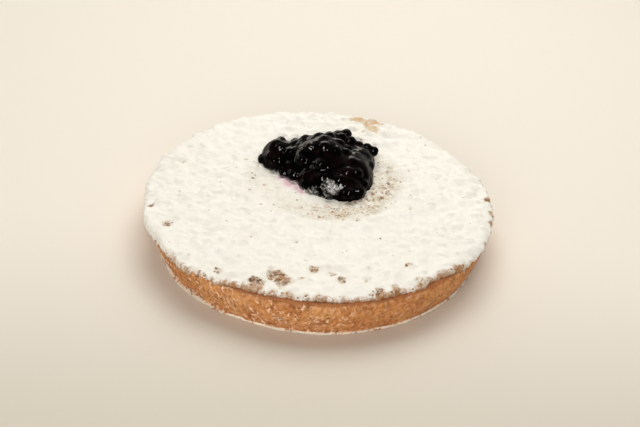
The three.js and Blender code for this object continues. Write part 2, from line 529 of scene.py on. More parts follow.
@dataclass(frozen=True)
class BakedCrust(Finish):
    """Golden-brown shortcrust: paler and browner clouds, pale flecks that are partly flour and partly
    painted highlights, pores and cracks painted dark with shade, and some sugar.
    """

    pale: Colour = (0.76, 0.378, 0.146, 1.0)
    golden: Colour = (0.635, 0.268, 0.095, 1.0)
    brown: Colour = (0.33, 0.108, 0.036, 1.0)
    # Pale flecks: partly flour, partly painted highlights on small raised grains.
    flour_and_highlight: Colour = (0.93, 0.64, 0.43, 1.0)
    # Painted shade: the dark colour of the pores and cracks.
    pore: Colour = (0.12, 0.038, 0.012, 1.0)
    broad_clouds: Clouds = (26.0, 3.0, 0.4)
    patch_clouds: Clouds = (7.0, 4.0, 0.0, 0.8)
    fine_clouds: Clouds = (2.4, 2.5, 0.0, 0.7)
    fleck_clouds: Clouds = (2.6, 3.0, 0.0, 0.7)
    paling: Span = (0.36, 0.66)
    patch_browning: Span = (0.42, 0.72, 0.0, 0.5)
    fine_browning: Span = (0.43, 0.66, 0.0, 0.55)
    fleck_edge: Span = (0.52, 0.63)
    fleck_patches: Span = (0.40, 0.57, 0.2, 1.0)
    fleck_browning: Span = (0.3, 0.75, 1.0, 0.15)
    opening_depth: Span = (0.3, 1.0, 0.25, 0.9)
    pore_pitch: float = 3.4
    pore_edge: Span = (0.14, 0.30, 1.0, 0.0)
    pore_patches: Span = (0.55, 0.62)
    crack_clouds: Clouds = (5.0, 2.5, 0.0, 1.2)
    crack_edge: Span = (0.004, 0.022, 1.0, 0.0)
    crack_places: Clouds = (9.0, 2.0)
    crack_patches: Span = (0.59, 0.66)
    scatter: float = 0.7
    film: float = 0.1
    relief: float = 0.7
    grain_relief: float = 0.25
    roughness: Span = (0.3, 0.7, 0.62, 0.85)
    shine: float = 0.05

    def paint(self, sheet: ShaderSheet) -> None:
        """Adds the finish's own nodes.

        Args:
            sheet: The material's sheet.
        """
        patch = sheet.clouds(*self.patch_clouds)
        fine = sheet.clouds(*self.fine_clouds)
        tone = sheet.attribute(TONE)
        floury = sheet.attribute(FLOUR_AND_HIGHLIGHT)
        paler = sheet.span(sheet.clouds(*self.broad_clouds), *self.paling)
        colour = sheet.blend(paler, self.golden, self.pale)
        browner = sheet.span(patch, *self.patch_browning)
        browner = sheet.math("ADD", browner, sheet.span(fine, *self.fine_browning))
        colour = sheet.blend(browner, colour, self.brown)
        # Browner by the crust's tone: in clouds along the foot, and just under the rim, where it is partly
        # painted shade.
        colour = sheet.blend(tone, colour, self.brown)
        # Painted highlights: the pale flecks stand partly for flour and partly for light caught on small
        # raised grains.
        flecks = sheet.span(sheet.clouds(*self.fleck_clouds), *self.fleck_edge)
        flecks = sheet.times(flecks, sheet.span(patch, *self.fleck_patches))
        flecks = sheet.times(flecks, sheet.span(tone, *self.fleck_browning))
        colour = sheet.blend(sheet.times(flecks, floury), colour, self.flour_and_highlight)
        # Painted shade: pores and cracks are darkened as well as sunk in the bump.
        shaded_openings = sheet.times(self.shaded_openings(sheet, patch), sheet.span(floury, *self.opening_depth))
        colour = sheet.blend(shaded_openings, colour, self.pore)
        dusted = self.sugar.dust(sheet, colour, sheet.attribute(SUGAR), self.scatter, self.film)
        normal = sheet.bump(sheet.math("SUBTRACT", fine, shaded_openings), self.relief)
        normal = sheet.bump(dusted["Grain"], self.grain_relief, normal)
        sheet.surface(
            Base_Color=dusted["Color"],
            Roughness=sheet.span(fine, *self.roughness),
            Specular_IOR_Level=self.shine,
            Normal=normal,
        )

    def shaded_openings(self, sheet: ShaderSheet, patch: Socket) -> Socket:
        """Adds the small round pores and short cracks, which are painted dark as the shade in them.

        Args:
            sheet: The material's sheet.
            patch: Clouds that the pores gather in.

        Returns:
            1 in a pore or crack, and 0 beside it.
        """
        pits = sheet.span(sheet.pores(self.pore_pitch), *self.pore_edge)
        pits = sheet.times(pits, sheet.span(patch, *self.pore_patches))
        off_middle = sheet.math("SUBTRACT", sheet.clouds(*self.crack_clouds), 0.5)
        cracks = sheet.span(sheet.math("ABSOLUTE", off_middle, 0.0), *self.crack_edge)
        cracks = sheet.times(cracks, sheet.span(sheet.clouds(*self.crack_places), *self.crack_patches))
        return sheet.math("MAXIMUM", pits, cracks)


@dataclass(frozen=True)
class SugaredCrumb(Finish):
    """Brown butter crumb under icing sugar, browner at the pie's edge, pink where juice has run, and painted
    shade in the gaps between its lumps.
    """

    gold: Colour = (0.47, 0.275, 0.150, 1.0)
    brown: Colour = (0.135, 0.066, 0.030, 1.0)
    toasted: Colour = (0.50, 0.255, 0.115, 1.0)
    fresh: Colour = (0.76, 0.565, 0.35, 1.0)
    thin: Colour = (0.69, 0.61, 0.47, 1.0)
    juice: Colour = (0.80, 0.41, 0.55, 1.0)
    lump_clouds: Clouds = (2.8, 3.0)
    fine_clouds: Clouds = (0.9, 2.0)
    # Where the lumps give way to the gaps between them, which get a dark painted shade.
    gaps: Span = (0.38, 0.53)
    toasted_gap: float = 0.6
    scatter: Span = (0.4, 0.95, 0.9, 0.34)
    film: float = 0.25
    wetness: Span = (0.3, 0.6, 0.35, 1.0)
    thin_cover: Pair = (0.5, 1.0)
    thinness: float = 0.92
    thin_lumps: Span = (0.34, 0.6, 0.35, 1.0)
    relief: float = 0.25
    grain_relief: float = 0.2
    roughness: float = 0.9

    def paint(self, sheet: ShaderSheet) -> None:
        """Adds the finish's own nodes.

        Args:
            sheet: The material's sheet.
        """
        lumps = sheet.clouds(*self.lump_clouds)
        tone = sheet.attribute(TONE)
        cover = sheet.attribute(SUGAR)
        crumb = sheet.blend(tone, self.gold, self.toasted)
        # Painted shade: the gaps between the crumb's lumps take the dark brown, or the toasted colour near
        # the edge.
        gap_shade = sheet.blend(sheet.times(tone, self.toasted_gap), self.brown, self.toasted)
        crumb = sheet.blend(sheet.span(lumps, *self.gaps), gap_shade, crumb)
        crumb = sheet.blend(sheet.attribute(FRESH), crumb, self.fresh)
        dusted = self.sugar.dust(sheet, crumb, cover, sheet.span(cover, *self.scatter), self.film)
        sparse = sheet.span(cover, *self.thin_cover, self.thinness, 0.0)
        sparse = sheet.times(sparse, sheet.span(lumps, *self.thin_lumps))
        sparse = sheet.times(sparse, dusted["Mask"])
        colour = sheet.blend(sparse, dusted["Color"], sheet.blend(tone, self.thin, self.toasted))
        wet = sheet.times(sheet.attribute(STAIN), sheet.span(lumps, *self.wetness))
        colour = sheet.blend(wet, colour, self.juice)
        normal = sheet.bump(sheet.clouds(*self.fine_clouds), self.relief)
        normal = sheet.bump(dusted["Grain"], self.grain_relief, normal)
        sheet.surface(Base_Color=colour, Roughness=self.roughness, Specular_IOR_Level=0.0, Normal=normal)


@dataclass(frozen=True)
class SugarGrain(Finish):
    """Loose grains and clumps of icing sugar, with painted shade in the hollows between grains."""

    shading: Span = (0.35, 0.65)
    relief: float = 0.15
    roughness: float = 0.92

    def paint(self, sheet: ShaderSheet) -> None:
        """Adds the finish's own nodes.

        Args:
            sheet: The material's sheet.
        """
        grains = sheet.clouds(*self.sugar.grains)
        # Painted shade: the clumps are darker in the hollows between their grains.
        colour = sheet.blend(sheet.span(grains, *self.shading), self.sugar.hollow, self.sugar.white)
        normal = sheet.bump(grains, self.relief)
        sheet.surface(Base_Color=colour, Roughness=self.roughness, Specular_IOR_Level=0.0, Normal=normal)


@dataclass(frozen=True)
class BerryJelly(Finish):
    """Wet jelly, nearly black, with a little purple and red in it, and sugar where it fell on it."""

    black: Colour = (0.0006, 0.0003, 0.0003, 1.0)
    plum: Colour = (0.0055, 0.0012, 0.0015, 1.0)
    plum_clouds: Clouds = (8.0, 2.0)
    plum_edge: Span = (0.45, 0.72)
    ripples: Clouds = (3.0, 1.0)
    ripple_relief: float = 0.1
    grain_relief: float = 0.08
    scatter: float = 0.62
    film: float = 0.4
    roughness: Span = (0.0, 0.2, 0.12, 0.9)
    shine: float = 0.038

    def paint(self, sheet: ShaderSheet) -> None:
        """Adds the finish's own nodes.

        Args:
            sheet: The material's sheet.
        """
        purple = sheet.span(sheet.clouds(*self.plum_clouds), *self.plum_edge)
        colour = sheet.blend(purple, self.black, self.plum)
        dusted = self.sugar.dust(sheet, colour, sheet.attribute(SUGAR), self.scatter, self.film)
        normal = sheet.bump(sheet.clouds(*self.ripples), self.ripple_relief)
        normal = sheet.bump(dusted["Grain"], self.grain_relief, normal)
        sheet.surface(
            Base_Color=dusted["Color"],
            Roughness=sheet.span(dusted["Mask"], *self.roughness),
            Specular_IOR_Level=self.shine,
            Normal=normal,
        )


@dataclass(frozen=True)
class BerrySkin(Finish):
    """Cooked blueberry skin under a thin coat of jelly."""

    skin: Colour = (0.0007, 0.0004, 0.0005, 1.0)
    bloom: Colour = (0.0035, 0.0014, 0.0018, 1.0)
    bloom_clouds: Clouds = (3.5, 3.0)
    bloom_edge: Span = (0.42, 0.7)
    wrinkles: Clouds = (1.6, 2.0)
    wrinkle_relief: float = 0.12
    roughness: Span = (0.3, 0.7, 0.10, 0.2)
    shine: float = 0.042

    def paint(self, sheet: ShaderSheet) -> None:
        """Adds the finish's own nodes.

        Args:
            sheet: The material's sheet.
        """
        clouds = sheet.clouds(*self.bloom_clouds)
        colour = sheet.blend(sheet.span(clouds, *self.bloom_edge), self.skin, self.bloom)
        normal = sheet.bump(sheet.clouds(*self.wrinkles), self.wrinkle_relief)
        roughness = sheet.span(clouds, *self.roughness)
        sheet.surface(Base_Color=colour, Roughness=roughness, Specular_IOR_Level=self.shine, Normal=normal)


@dataclass(frozen=True)
class PaleFloor(Finish):
    """A plain warm-white surface, with painted shade that makes it darker and greyer towards the front."""

    cream: Colour = (0.855, 0.805, 0.725, 1.0)
    # Painted shade: the floor's colour at the front.
    near_shade: Colour = (0.62, 0.575, 0.49, 1.0)
    fade: Span = (-0.30, 0.02)
    roughness: float = 0.7

    def paint(self, sheet: ShaderSheet) -> None:
        """Adds the finish's own nodes.

        Args:
            sheet: The material's sheet.
        """
        along = sheet.add("ShaderNodeSeparateXYZ", {0: sheet.place()}).outputs["Y"]
        # Painted shade: the floor darkens towards the front, standing for light that falls off there.
        colour = sheet.blend(sheet.span(along, *self.fade), self.near_shade, self.cream)
        sheet.surface(Base_Color=colour, Roughness=self.roughness, Specular_IOR_Level=0.0)


def placed(name: str, data: bpy.types.ID) -> bpy.types.Object:
    """Makes an object of a mesh, light or camera, and puts it in the scene.

    Args:
        name: The object's name.
        data: What it shows.

    Returns:
        The object.
    """
    made = bpy.data.objects.new(name, data)
    bpy.context.scene.collection.objects.link(made)
    return made


def piece_from(
    bm: Mesh, name: str, finish: Finish, solid: Solid, stands_for: bool = False
) -> bpy.types.Object:
    """Turns a mesh in millimetres into a piece of the pie.

    Args:
        bm: The mesh, which is used up.
        name: The piece's name.
        finish: Its finish.
        solid: The frame's node that it hides when it replaces it.
        stands_for: Whether it replaces that node.

    Returns:
        The piece, which rides on the pie.
    """
    bmesh.ops.scale(bm, vec=(MM, MM, MM), verts=bm.verts)
    bmesh.ops.recalc_face_normals(bm, faces=bm.faces)
    for face in bm.faces:
        face.smooth = True
    mesh = bpy.data.meshes.new(name)
    bm.to_mesh(mesh)
    bm.free()
    mesh.materials.append(finish.material())
    piece = placed(name, mesh)
    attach(piece, BODY)
    if stands_for:
        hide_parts(solid.value)
    log.info("%s: %d faces", name, len(mesh.polygons))
    return piece


def places_of(bm: Mesh) -> Array:
    """The places of a mesh's vertices, one to a row."""
    return np.array([vertex.co[:] for vertex in bm.verts])


def move_to(bm: Mesh, places: Array) -> None:
    """Moves a mesh's vertices to new places."""
    for vertex, place in zip(bm.verts, places):
        vertex.co = place


def keep_values(bm: Mesh, name: str, values: Array) -> None:
    """Keeps one value at each vertex of a mesh, for its material to read."""
    layer = bm.verts.layers.float.get(name) or bm.verts.layers.float.new(name)
    for vertex, value in zip(bm.verts, values):
        vertex[layer] = value


def next_ring(bm: Mesh, edge: list) -> tuple[list, list]:
    """Extrudes a mesh's open edge once.

    Args:
        bm: The mesh.
        edge: Its open edge.

    Returns:
        The new open edge, and its vertices.
    """
    made = bmesh.ops.extrude_edge_only(bm, edges=edge)["geom"]
    new_edge = [g for g in made if isinstance(g, bmesh.types.BMEdge) and g.is_boundary]
    return new_edge, [g for g in made if isinstance(g, bmesh.types.BMVert)]


@dataclass(frozen=True)
class EdgeStretch:
    """A stretch of an edge that lies apart from the rest, by its heading and half width in degrees."""

    heading: float
    spread: float
    reach: float

    def moved(self, angle: Array) -> Array:
        """How far the stretch moves the edge at angles round the pie, with soft ends."""
        turned = np.abs((np.degrees(angle) - self.heading + 180.0) % 360.0 - 180.0)
        return self.reach * (1.0 - ramp(SOFT_ENDS[0] * self.spread, SOFT_ENDS[1] * self.spread, turned))


@dataclass(frozen=True)
class Patchiness:
    """Soft patches that come and go over a surface: their width, and the cloudiness where they rise."""

    size: float
    low: float
    high: float

    def at(self, places: Array) -> Array:
        """How far places lie in a patch, from 0 to 1."""
        return ramp(self.low, self.high, rough(places, self.size, 2))


@dataclass
class Crust:
    """The baked crust: flat underside, thin skirt, slanting pored wall, round rim and the crumb's recess."""

    form: PieForm
    finish: Finish
    stretches: tuple[EdgeStretch, ...]
    floury: EdgeStretch
    smooth: EdgeStretch
    skirt_reach: float = 1.2
    skirt_thickness: float = 1.3
    skirt_slope: float = 0.8
    wall_bulge: float = 0.9
    wall_steps: int = 32
    round_steps: int = 5
    turns: int = 880
    join_distance: float = 1e-4
    wall_unevenness: float = 0.7
    wall_phase: float = 0.4
    wall_layers: Layers = ((0.35, 16.0, 3), (0.22, 4.0, 3), (0.12, 1.7, 2))
    pits: Patchiness = Patchiness(3.2, 0.42, 0.75)
    pit_shift: float = 40.0
    pit_depth: float = 0.55
    fray_layers: Layers = ((0.6, 9.0, 3), (0.5, 3.2, 2))
    fray_inset: float = 0.1
    lift_size: float = 5.0
    lift_start: Pair = (0.5, 1.3)
    lift_depth: float = 0.35
    rim_blend: float = 2.5
    foot_blend: Pair = (-4.0, -0.5)
    base_blend: float = 0.6
    dust_bottom: Pair = (0.1, 0.5)
    dust_top: Pair = (1.6, 2.3)
    dust_foot: Pair = (-0.6, 0.3)
    dust_even: float = 0.72
    dust_layers: Layers = ((0.45, 9.0, 2), (0.35, 2.5, 2))
    wall_dust: Patchiness = Patchiness(20.0, -0.05, 0.6)
    wall_dust_most: float = 0.2
    floury_dust: Patchiness = Patchiness(9.0, -0.4, 0.4)
    wall_dust_end: Pair = (-9.0, -6.0)
    # Partly painted shade: how much browner the crust is just under the crumb's overhanging edge.
    rim_shade_tone: float = 0.8
    rim_shade_start: Pair = (-1.8, -0.3)
    foot_tone: float = 0.35
    foot_tone_end: Pair = (1.5, 7.0)
    foot_clouds: Patchiness = Patchiness(18.0, -0.3, 0.5)

    def build(self) -> bpy.types.Object:
        """Models the crust and gives it its finish.

        Returns:
            The piece.
        """
        bm = bmesh.new()
        profile = [bm.verts.new((radius, 0.0, height)) for radius, height in self.profile()]
        for first, second in zip(profile, profile[1:]):
            bm.edges.new((first, second))
        bmesh.ops.spin(
            bm, geom=bm.verts[:] + bm.edges[:], cent=(0, 0, 0), axis=(0, 0, 1),
            angle=math.tau, steps=self.turns, use_merge=True,
        )
        bmesh.ops.remove_doubles(bm, verts=bm.verts, dist=self.join_distance)
        places = places_of(bm)
        keep_values(bm, SUGAR, self.sugar(places))
        keep_values(bm, TONE, self.tone(places))
        keep_values(bm, FLOUR_AND_HIGHLIGHT, self.flour_and_highlight(places))
        move_to(bm, self.baked(places))
        return piece_from(bm, "pie_crust", self.finish, Solid.CRUST, stands_for=True)

    def profile(self) -> list[Pair]:
        """The crust's half section.

        Returns:
            Radii and heights, from the axis round to the axis.
        """
        form = self.form
        skirt = form.foot_radius + self.skirt_reach
        half = self.skirt_thickness / 2.0
        points = [(0.0, 0.0)]
        for i in range(self.round_steps + 1):
            turn = math.pi * (i / self.round_steps - 0.5)
            points.append((skirt - half + half * math.cos(turn), half + half * math.sin(turn)))
        wall_top = form.crust_height - form.rim_rounding
        foot_top = self.skirt_thickness + self.skirt_slope
        for i in range(self.wall_steps + 1):
            share = i / self.wall_steps
            straight = form.foot_radius + (form.rim_radius - form.foot_radius) * share
            bulge = self.wall_bulge * math.sin(math.pi * share)
            points.append((straight + bulge, foot_top + (wall_top - foot_top) * share))
        for i in range(1, self.round_steps + 1):
            turn = 0.5 * math.pi * i / self.round_steps
            outward = form.rim_rounding * (math.cos(turn) - 1.0)
            points.append((form.rim_radius + outward, wall_top + form.rim_rounding * math.sin(turn)))
        inner = form.rim_radius - form.rim_width
        points += [(inner, form.crust_height), (inner, form.recess_floor), (0.0, form.recess_floor)]
        return points

    def outside(self, places: Array) -> Array:
        """Tells the crust's outside from its flat underside and its recess.

        Args:
            places: Points of the smooth crust.

        Returns:
            1 on the outside, fading to 0 elsewhere.
        """
        form = self.form
        radius = np.hypot(places[:, 0], places[:, 1])
        height = places[:, 2]
        off_recess = ramp(form.rim_radius - form.rim_width, form.rim_radius - self.rim_blend, radius)
        on_wall = ramp(*(form.foot_radius + step for step in self.foot_blend), radius)
        above = np.where(height > form.recess_floor, off_recess, on_wall)
        return above * ramp(0.0, self.base_blend, height)

    def baked(self, places: Array) -> Array:
        """Gives the smooth crust the unevenness, pits and frayed skirt of baked dough.

        Args:
            places: Points of the smooth crust.

        Returns:
            The points of the baked crust.
        """
        radius, angle = polar(places[:, 0], places[:, 1])
        height = places[:, 2]
        outside = self.outside(places)
        on_skirt = 1.0 - ramp(self.skirt_thickness, self.skirt_thickness + self.skirt_slope, height)
        grown = self.wall_unevenness * ring_unevenness(angle, self.wall_phase)
        grown += layered(places, self.wall_layers)
        grown -= self.pit_depth * self.pits.at(places + self.pit_shift) * (1.0 - on_skirt)
        frayed = layered(places * np.array([1.0, 1.0, 0.0]), self.fray_layers) - self.fray_inset
        grown += on_skirt * (frayed + sum(stretch.moved(angle) for stretch in self.stretches))
        share = 1.0 + outside * grown / np.maximum(radius, 1.0)
        lift = outside * on_skirt * ramp(*self.lift_start, height)
        lift = lift * self.lift_depth * rough(places, self.lift_size)
        return np.column_stack([places[:, 0] * share, places[:, 1] * share, height + lift])

    def sugar(self, places: Array) -> Array:
        """Where icing sugar lies on the crust: on its skirt, and in patches on its wall.

        Args:
            places: Points of the smooth crust.

        Returns:
            The shares of cover.
        """
        radius, angle = polar(places[:, 0], places[:, 1])
        height = places[:, 2]
        on_skirt = ramp(*self.dust_bottom, height) * (1.0 - ramp(*self.dust_top, height))
        on_skirt *= ramp(*(self.form.foot_radius + step for step in self.dust_foot), radius)
        patches = self.wall_dust.at(places) * self.wall_dust_most
        patches += self.floury_dust.at(places) * self.floury.moved(angle)
        patches *= 1.0 - ramp(*(self.form.crust_height + step for step in self.wall_dust_end), height)
        broken = self.dust_even + layered(places, self.dust_layers)
        return np.clip(broken * on_skirt + patches, 0.0, 1.0)

    def flour_and_highlight(self, places: Array) -> Array:
        """How many pale flecks the crust has, partly flour and partly painted highlights on its grains:
        fewer where its wall is smooth.
        """
        return 1.0 - self.smooth.moved(np.arctan2(places[:, 1], places[:, 0]))

    def tone(self, places: Array) -> Array:
        """How much browner the crust is: just under its rim, partly baked browning and partly painted shade
        under the crumb's overhang, and in clouds along its foot.

        Args:
            places: Points of the smooth crust.

        Returns:
            The shares of brown.
        """
        height = places[:, 2]
        # Partly baked browning, partly painted shade under the crumb's overhang.
        under_rim_shade = ramp(*(self.form.crust_height + step for step in self.rim_shade_start), height)
        at_foot = 1.0 - ramp(*self.foot_tone_end, height)
        browner = self.rim_shade_tone * under_rim_shade + self.foot_tone * at_foot * self.foot_clouds.at(places)
        return np.clip(browner, 0.0, 1.0)


@dataclass(frozen=True)
class BarePatch:
    """A place on the top where the sugar is thin or missing, and how fresh and pale the crumb is there."""

    x: float
    y: float
    radius: float
    bareness: float
    fresh: float = 0.0

    def inside(self, x: Array, y: Array, jitter: Array) -> Array:
        """1 in the middle of the patch, fading to 0 at its jittered edge."""
        away = np.hypot(x - self.x, y - self.y) / self.radius + PATCH_JITTER * jitter
        return 1.0 - ramp(PATCH_CORE, 1.0, away)


@dataclass(frozen=True)
class HangingRing:
    """A ring of the crumb's edge that hangs over the rim, by its way from the ring above it."""

    outward: float
    drop: float
    bared: float
    draped: float


@dataclass
class CrumbTopping:
    """The crumb layer with the icing sugar that lies on it, as one closed body."""

    form: PieForm
    finish: Finish
    patches: tuple[BarePatch, ...]
    stretches: tuple[EdgeStretch, ...]
    drape: EdgeStretch
    bare_edge: EdgeStretch
    grid_steps: int = 288
    sugar_depth: float = 1.1
    edge_unevenness: float = 0.8
    edge_phase: float = 1.3
    edge_layers: Layers = ((1.3, 12.0, 3), (0.9, 4.0, 3), (0.5, 1.9, 2))
    edge_start: float = 0.86
    edge_width: float = 2.6
    edge_rounding: float = 0.9
    edge_loss: Triple = (0.32, 0.35, 0.5)
    bump_softness: float = 2.4
    dip_calm: float = 0.45
    ripples: tuple[Pair, ...] = ((14.0, 1.0), (9.0, 1.3), (5.0, 1.1), (2.6, 0.3))
    ripple_stretch: float = 0.6
    left_drift: float = 0.45
    left_span: Pair = (-10.0, 90.0)
    back_calm: float = 0.4
    back_span: Pair = (10.0, 100.0)
    bare_relief: Layers = ((0.9, 2.8, 2),)
    bare_rise: float = 0.5
    jitter_size: float = 6.0
    fray_size: float = 2.6
    speck_count: int = 60
    speck_reach: Pair = (0.05, 0.95)
    speck_radius: Pair = (0.6, 1.2)
    speck_length: float = 1.5
    speck_edge: Pair = (0.5, 1.3)
    speck_depth: float = 0.5
    speck_bareness: float = 0.45
    speck_seed: int = 11
    thin_ring: Pair = (43.0, 20.0)
    thin_ring_core: float = 0.3
    thin_ring_heading: float = math.radians(-40.0)
    thin_ring_side: Pair = (-0.1, 0.8)
    thin_ring_depth: Pair = (0.17, 0.23)
    thin_ring_loss: Triple = (0.9, 0.5, 0.5)
    stain_from: Pair = (-27.5, 22.0)
    stain_to: Pair = (-12.5, 7.5)
    stain_reach: float = 6.5
    stain_core: float = 0.1
    stain_edge: Layers = ((2.5, 5.0, 3),)
    stain_strength: float = 0.75
    toasted_width: float = 5.0
    toasted_core: float = 0.3
    toasted_most: float = 0.8
    fresh_spread: float = -0.3
    hanging: tuple[HangingRing, ...] = (
        HangingRing(0.35, 0.4, 0.05, 0.35),
        HangingRing(0.25, 0.6, 0.12, 0.5),
        HangingRing(0.1, 0.7, 0.2, 0.3),
    )
    drop_unevenness: float = 0.9
    drop_size: float = 2.6
    drape_inset: float = 0.12
    rim_overlap: float = 0.2
    rim_lap: float = 2.0
    seat_gap: float = 0.3

    def build(self) -> bpy.types.Object:
        """Models the sugared crumb and gives it its finish.

        Returns:
            The piece.
        """
        bm = bmesh.new()
        bmesh.ops.create_grid(bm, x_segments=self.grid_steps, y_segments=self.grid_steps, size=1.0)
        x, y = self.on_pie(places_of(bm))
        height, cover = self.surface(x, y)
        move_to(bm, np.column_stack([x, y, height]))
        keep_values(bm, SUGAR, cover)
        self.close(bm)
        x, y = places_of(bm)[:, :2].T
        keep_values(bm, STAIN, self.stain(x, y))
        keep_values(bm, TONE, self.tone(x, y))
        keep_values(bm, FRESH, self.fresh(x, y))
        return piece_from(bm, "sugared_crumb", self.finish, Solid.CRUMB, stands_for=True)

    def tone(self, x: Array, y: Array) -> Array:
        """How much browner the crumb is at places on the top: only beside the crust.

        Args:
            x: Places across the pie.
            y: Places along the pie.

        Returns:
            The shares of the browner colour.
        """
        inward = self.edge_radius(np.arctan2(y, x)) - np.hypot(x, y)
        core = self.toasted_core * self.toasted_width
        return self.toasted_most * (1.0 - ramp(core, self.toasted_width, inward))

    def fresh(self, x: Array, y: Array) -> Array:
        """How much paler the crumb is at places on the top: only in some patches.

        Args:
            x: Places across the pie.
            y: Places along the pie.

        Returns:
            The shares of the paler colour.
        """
        paler = np.zeros_like(x)
        spread = np.full_like(x, self.fresh_spread)
        for patch in self.patches:
            paler = np.maximum(paler, patch.fresh * patch.inside(x, y, spread))
        return paler

    def edge_radius(self, angle: Array) -> Array:
        """Radius of the crumb's ragged edge over the rim.

        Args:
            angle: Headings round the pie.

        Returns:
            The radii.
        """
        round_rim = flat_places(*at_heading(self.form.rim_radius, angle))
        even = self.form.rim_radius + self.edge_unevenness * ring_unevenness(2.0 * angle, self.edge_phase)
        ragged = layered(round_rim, self.edge_layers)
        return even + ragged + sum(stretch.moved(angle) for stretch in self.stretches)

    def edge_share(self, x: Array, y: Array) -> Array:
        """How close places on the top are to the crumb's edge: 1 at it, and 0 well inside."""
        radius, angle = polar(x, y)
        return ramp(-self.edge_width, 0.0, radius - self.edge_radius(angle))

    def on_pie(self, square: Array) -> tuple[Array, Array]:
        """Maps a square grid, from -1 to 1, onto the pie's round top.

        Args:
            square: Points of the grid.

        Returns:
            Their places over the pie.
        """
        a, b = square[:, 0], square[:, 1]
        wide = np.abs(a) > np.abs(b)
        reach = np.where(wide, a, b)
        other = np.where(wide, b, a)
        turn = 0.25 * math.pi * other / np.where(reach == 0.0, 1.0, reach)
        turn = np.where(wide, turn, 0.5 * math.pi - turn)
        share, angle = polar(*at_heading(reach, turn))
        ragged = (self.edge_radius(angle) - self.form.rim_radius) * ramp(self.edge_start, 1.0, share)
        return at_heading(self.form.rim_radius * share + ragged, angle)

    def cover(self, x: Array, y: Array) -> Array:
        """How much sugar lies at places on the top: 0 for none, 1 for a whole layer.

        Args:
            x: Places across the pie.
            y: Places along the pie.

        Returns:
            The shares of cover.
        """
        jitter = rough(flat_places(x, y), self.jitter_size)
        frayed = rough(flat_places(x, y), self.fray_size, 2)
        cover = np.ones_like(x)
        for patch in self.patches:
            cover -= patch.bareness * patch.inside(x, y, jitter)
        from_dip, heading = polar(x - self.form.dip_centre[0], y - self.form.dip_centre[1])
        middle, width = self.thin_ring
        ring = 1.0 - ramp(self.thin_ring_core * width, width, np.abs(from_dip - middle))
        least, more = self.thin_ring_depth
        depth = least + more * ramp(*self.thin_ring_side, np.cos(heading - self.thin_ring_heading))
        even, jittered, fray = self.thin_ring_loss
        cover -= ring * depth * (even + jittered * jitter + fray * frayed)
        near_edge = self.edge_share(x, y) * self.bare_edge.moved(np.arctan2(y, x))
        even, jittered, fray = self.edge_loss
        cover -= near_edge * (even + jittered * jitter + fray * frayed)
        return np.clip(cover, 0.0, 1.0)

    def surface(self, x: Array, y: Array) -> tuple[Array, Array]:
        """The sugared top at places over the pie.

        Args:
            x: Places across the pie.
            y: Places along the pie.

        Returns:
            The top's heights, and the shares of sugar cover.
        """
        places = flat_places(x, y)
        cover = self.cover(x, y)
        outside_dip = 1.0 - self.dip_calm * self.form.dip_share(x, y)
        height = self.form.base_height(x, y)
        height += outside_dip * self.form.crumb_bumps(x, y, self.bump_softness)
        drifted = 1.0 + self.left_drift * ramp(*self.left_span, -x)
        drifted *= 1.0 - self.back_calm * ramp(*self.back_span, y)
        drawn_out = places * np.array([self.ripple_stretch, 1.0, 1.0])
        for size, depth in self.ripples:
            height += drifted * depth * rough(drawn_out + size, size, 2)
        bare = 1.0 - cover
        height -= self.sugar_depth * bare
        height += bare * (layered(places, self.bare_relief) + self.bare_rise)
        pit_depth, pit_cover = self.specks(x, y)
        rounding = self.edge_share(x, y) ** 2
        return height - pit_depth - self.edge_rounding * rounding, np.clip(cover - pit_cover, 0.0, 1.0)

    def specks(self, x: Array, y: Array) -> tuple[Array, Array]:
        """Small gaps in the sugar where the crumb shows, drawn at random.

        Args:
            x: Places across the pie.
            y: Places along the pie.

        Returns:
            The gaps' depth, and how much cover they take.
        """
        chance = np.random.default_rng(self.speck_seed)
        most = np.zeros_like(x)
        for _ in range(self.speck_count):
            reach = self.form.rim_radius * math.sqrt(chance.uniform(*self.speck_reach))
            turn = chance.uniform(0.0, math.tau)
            size = chance.uniform(*self.speck_radius)
            long_turn = chance.uniform(0.0, math.pi)
            dx, dy = x - reach * math.cos(turn), y - reach * math.sin(turn)
            along = dx * math.cos(long_turn) + dy * math.sin(long_turn)
            across = dy * math.cos(long_turn) - dx * math.sin(long_turn)
            inside = 1.0 - ramp(*self.speck_edge, np.hypot(along / self.speck_length, across) / size)
            most = np.maximum(most, inside)
        return self.speck_depth * most, self.speck_bareness * most

    def stain(self, x: Array, y: Array) -> Array:
        """How much berry juice has run into the sugar at places on the top.

        Args:
            x: Places across the pie.
            y: Places along the pie.

        Returns:
            The shares of juice.
        """
        start, end = np.array(self.stain_from), np.array(self.stain_to)
        run = end - start
        share = np.clip(((x - start[0]) * run[0] + (y - start[1]) * run[1]) / run.dot(run), 0.0, 1.0)
        away = np.hypot(x - start[0] - share * run[0], y - start[1] - share * run[1])
        away += layered(flat_places(x, y), self.stain_edge)
        return self.stain_strength * (1.0 - ramp(self.stain_core * self.stain_reach, self.stain_reach, away))

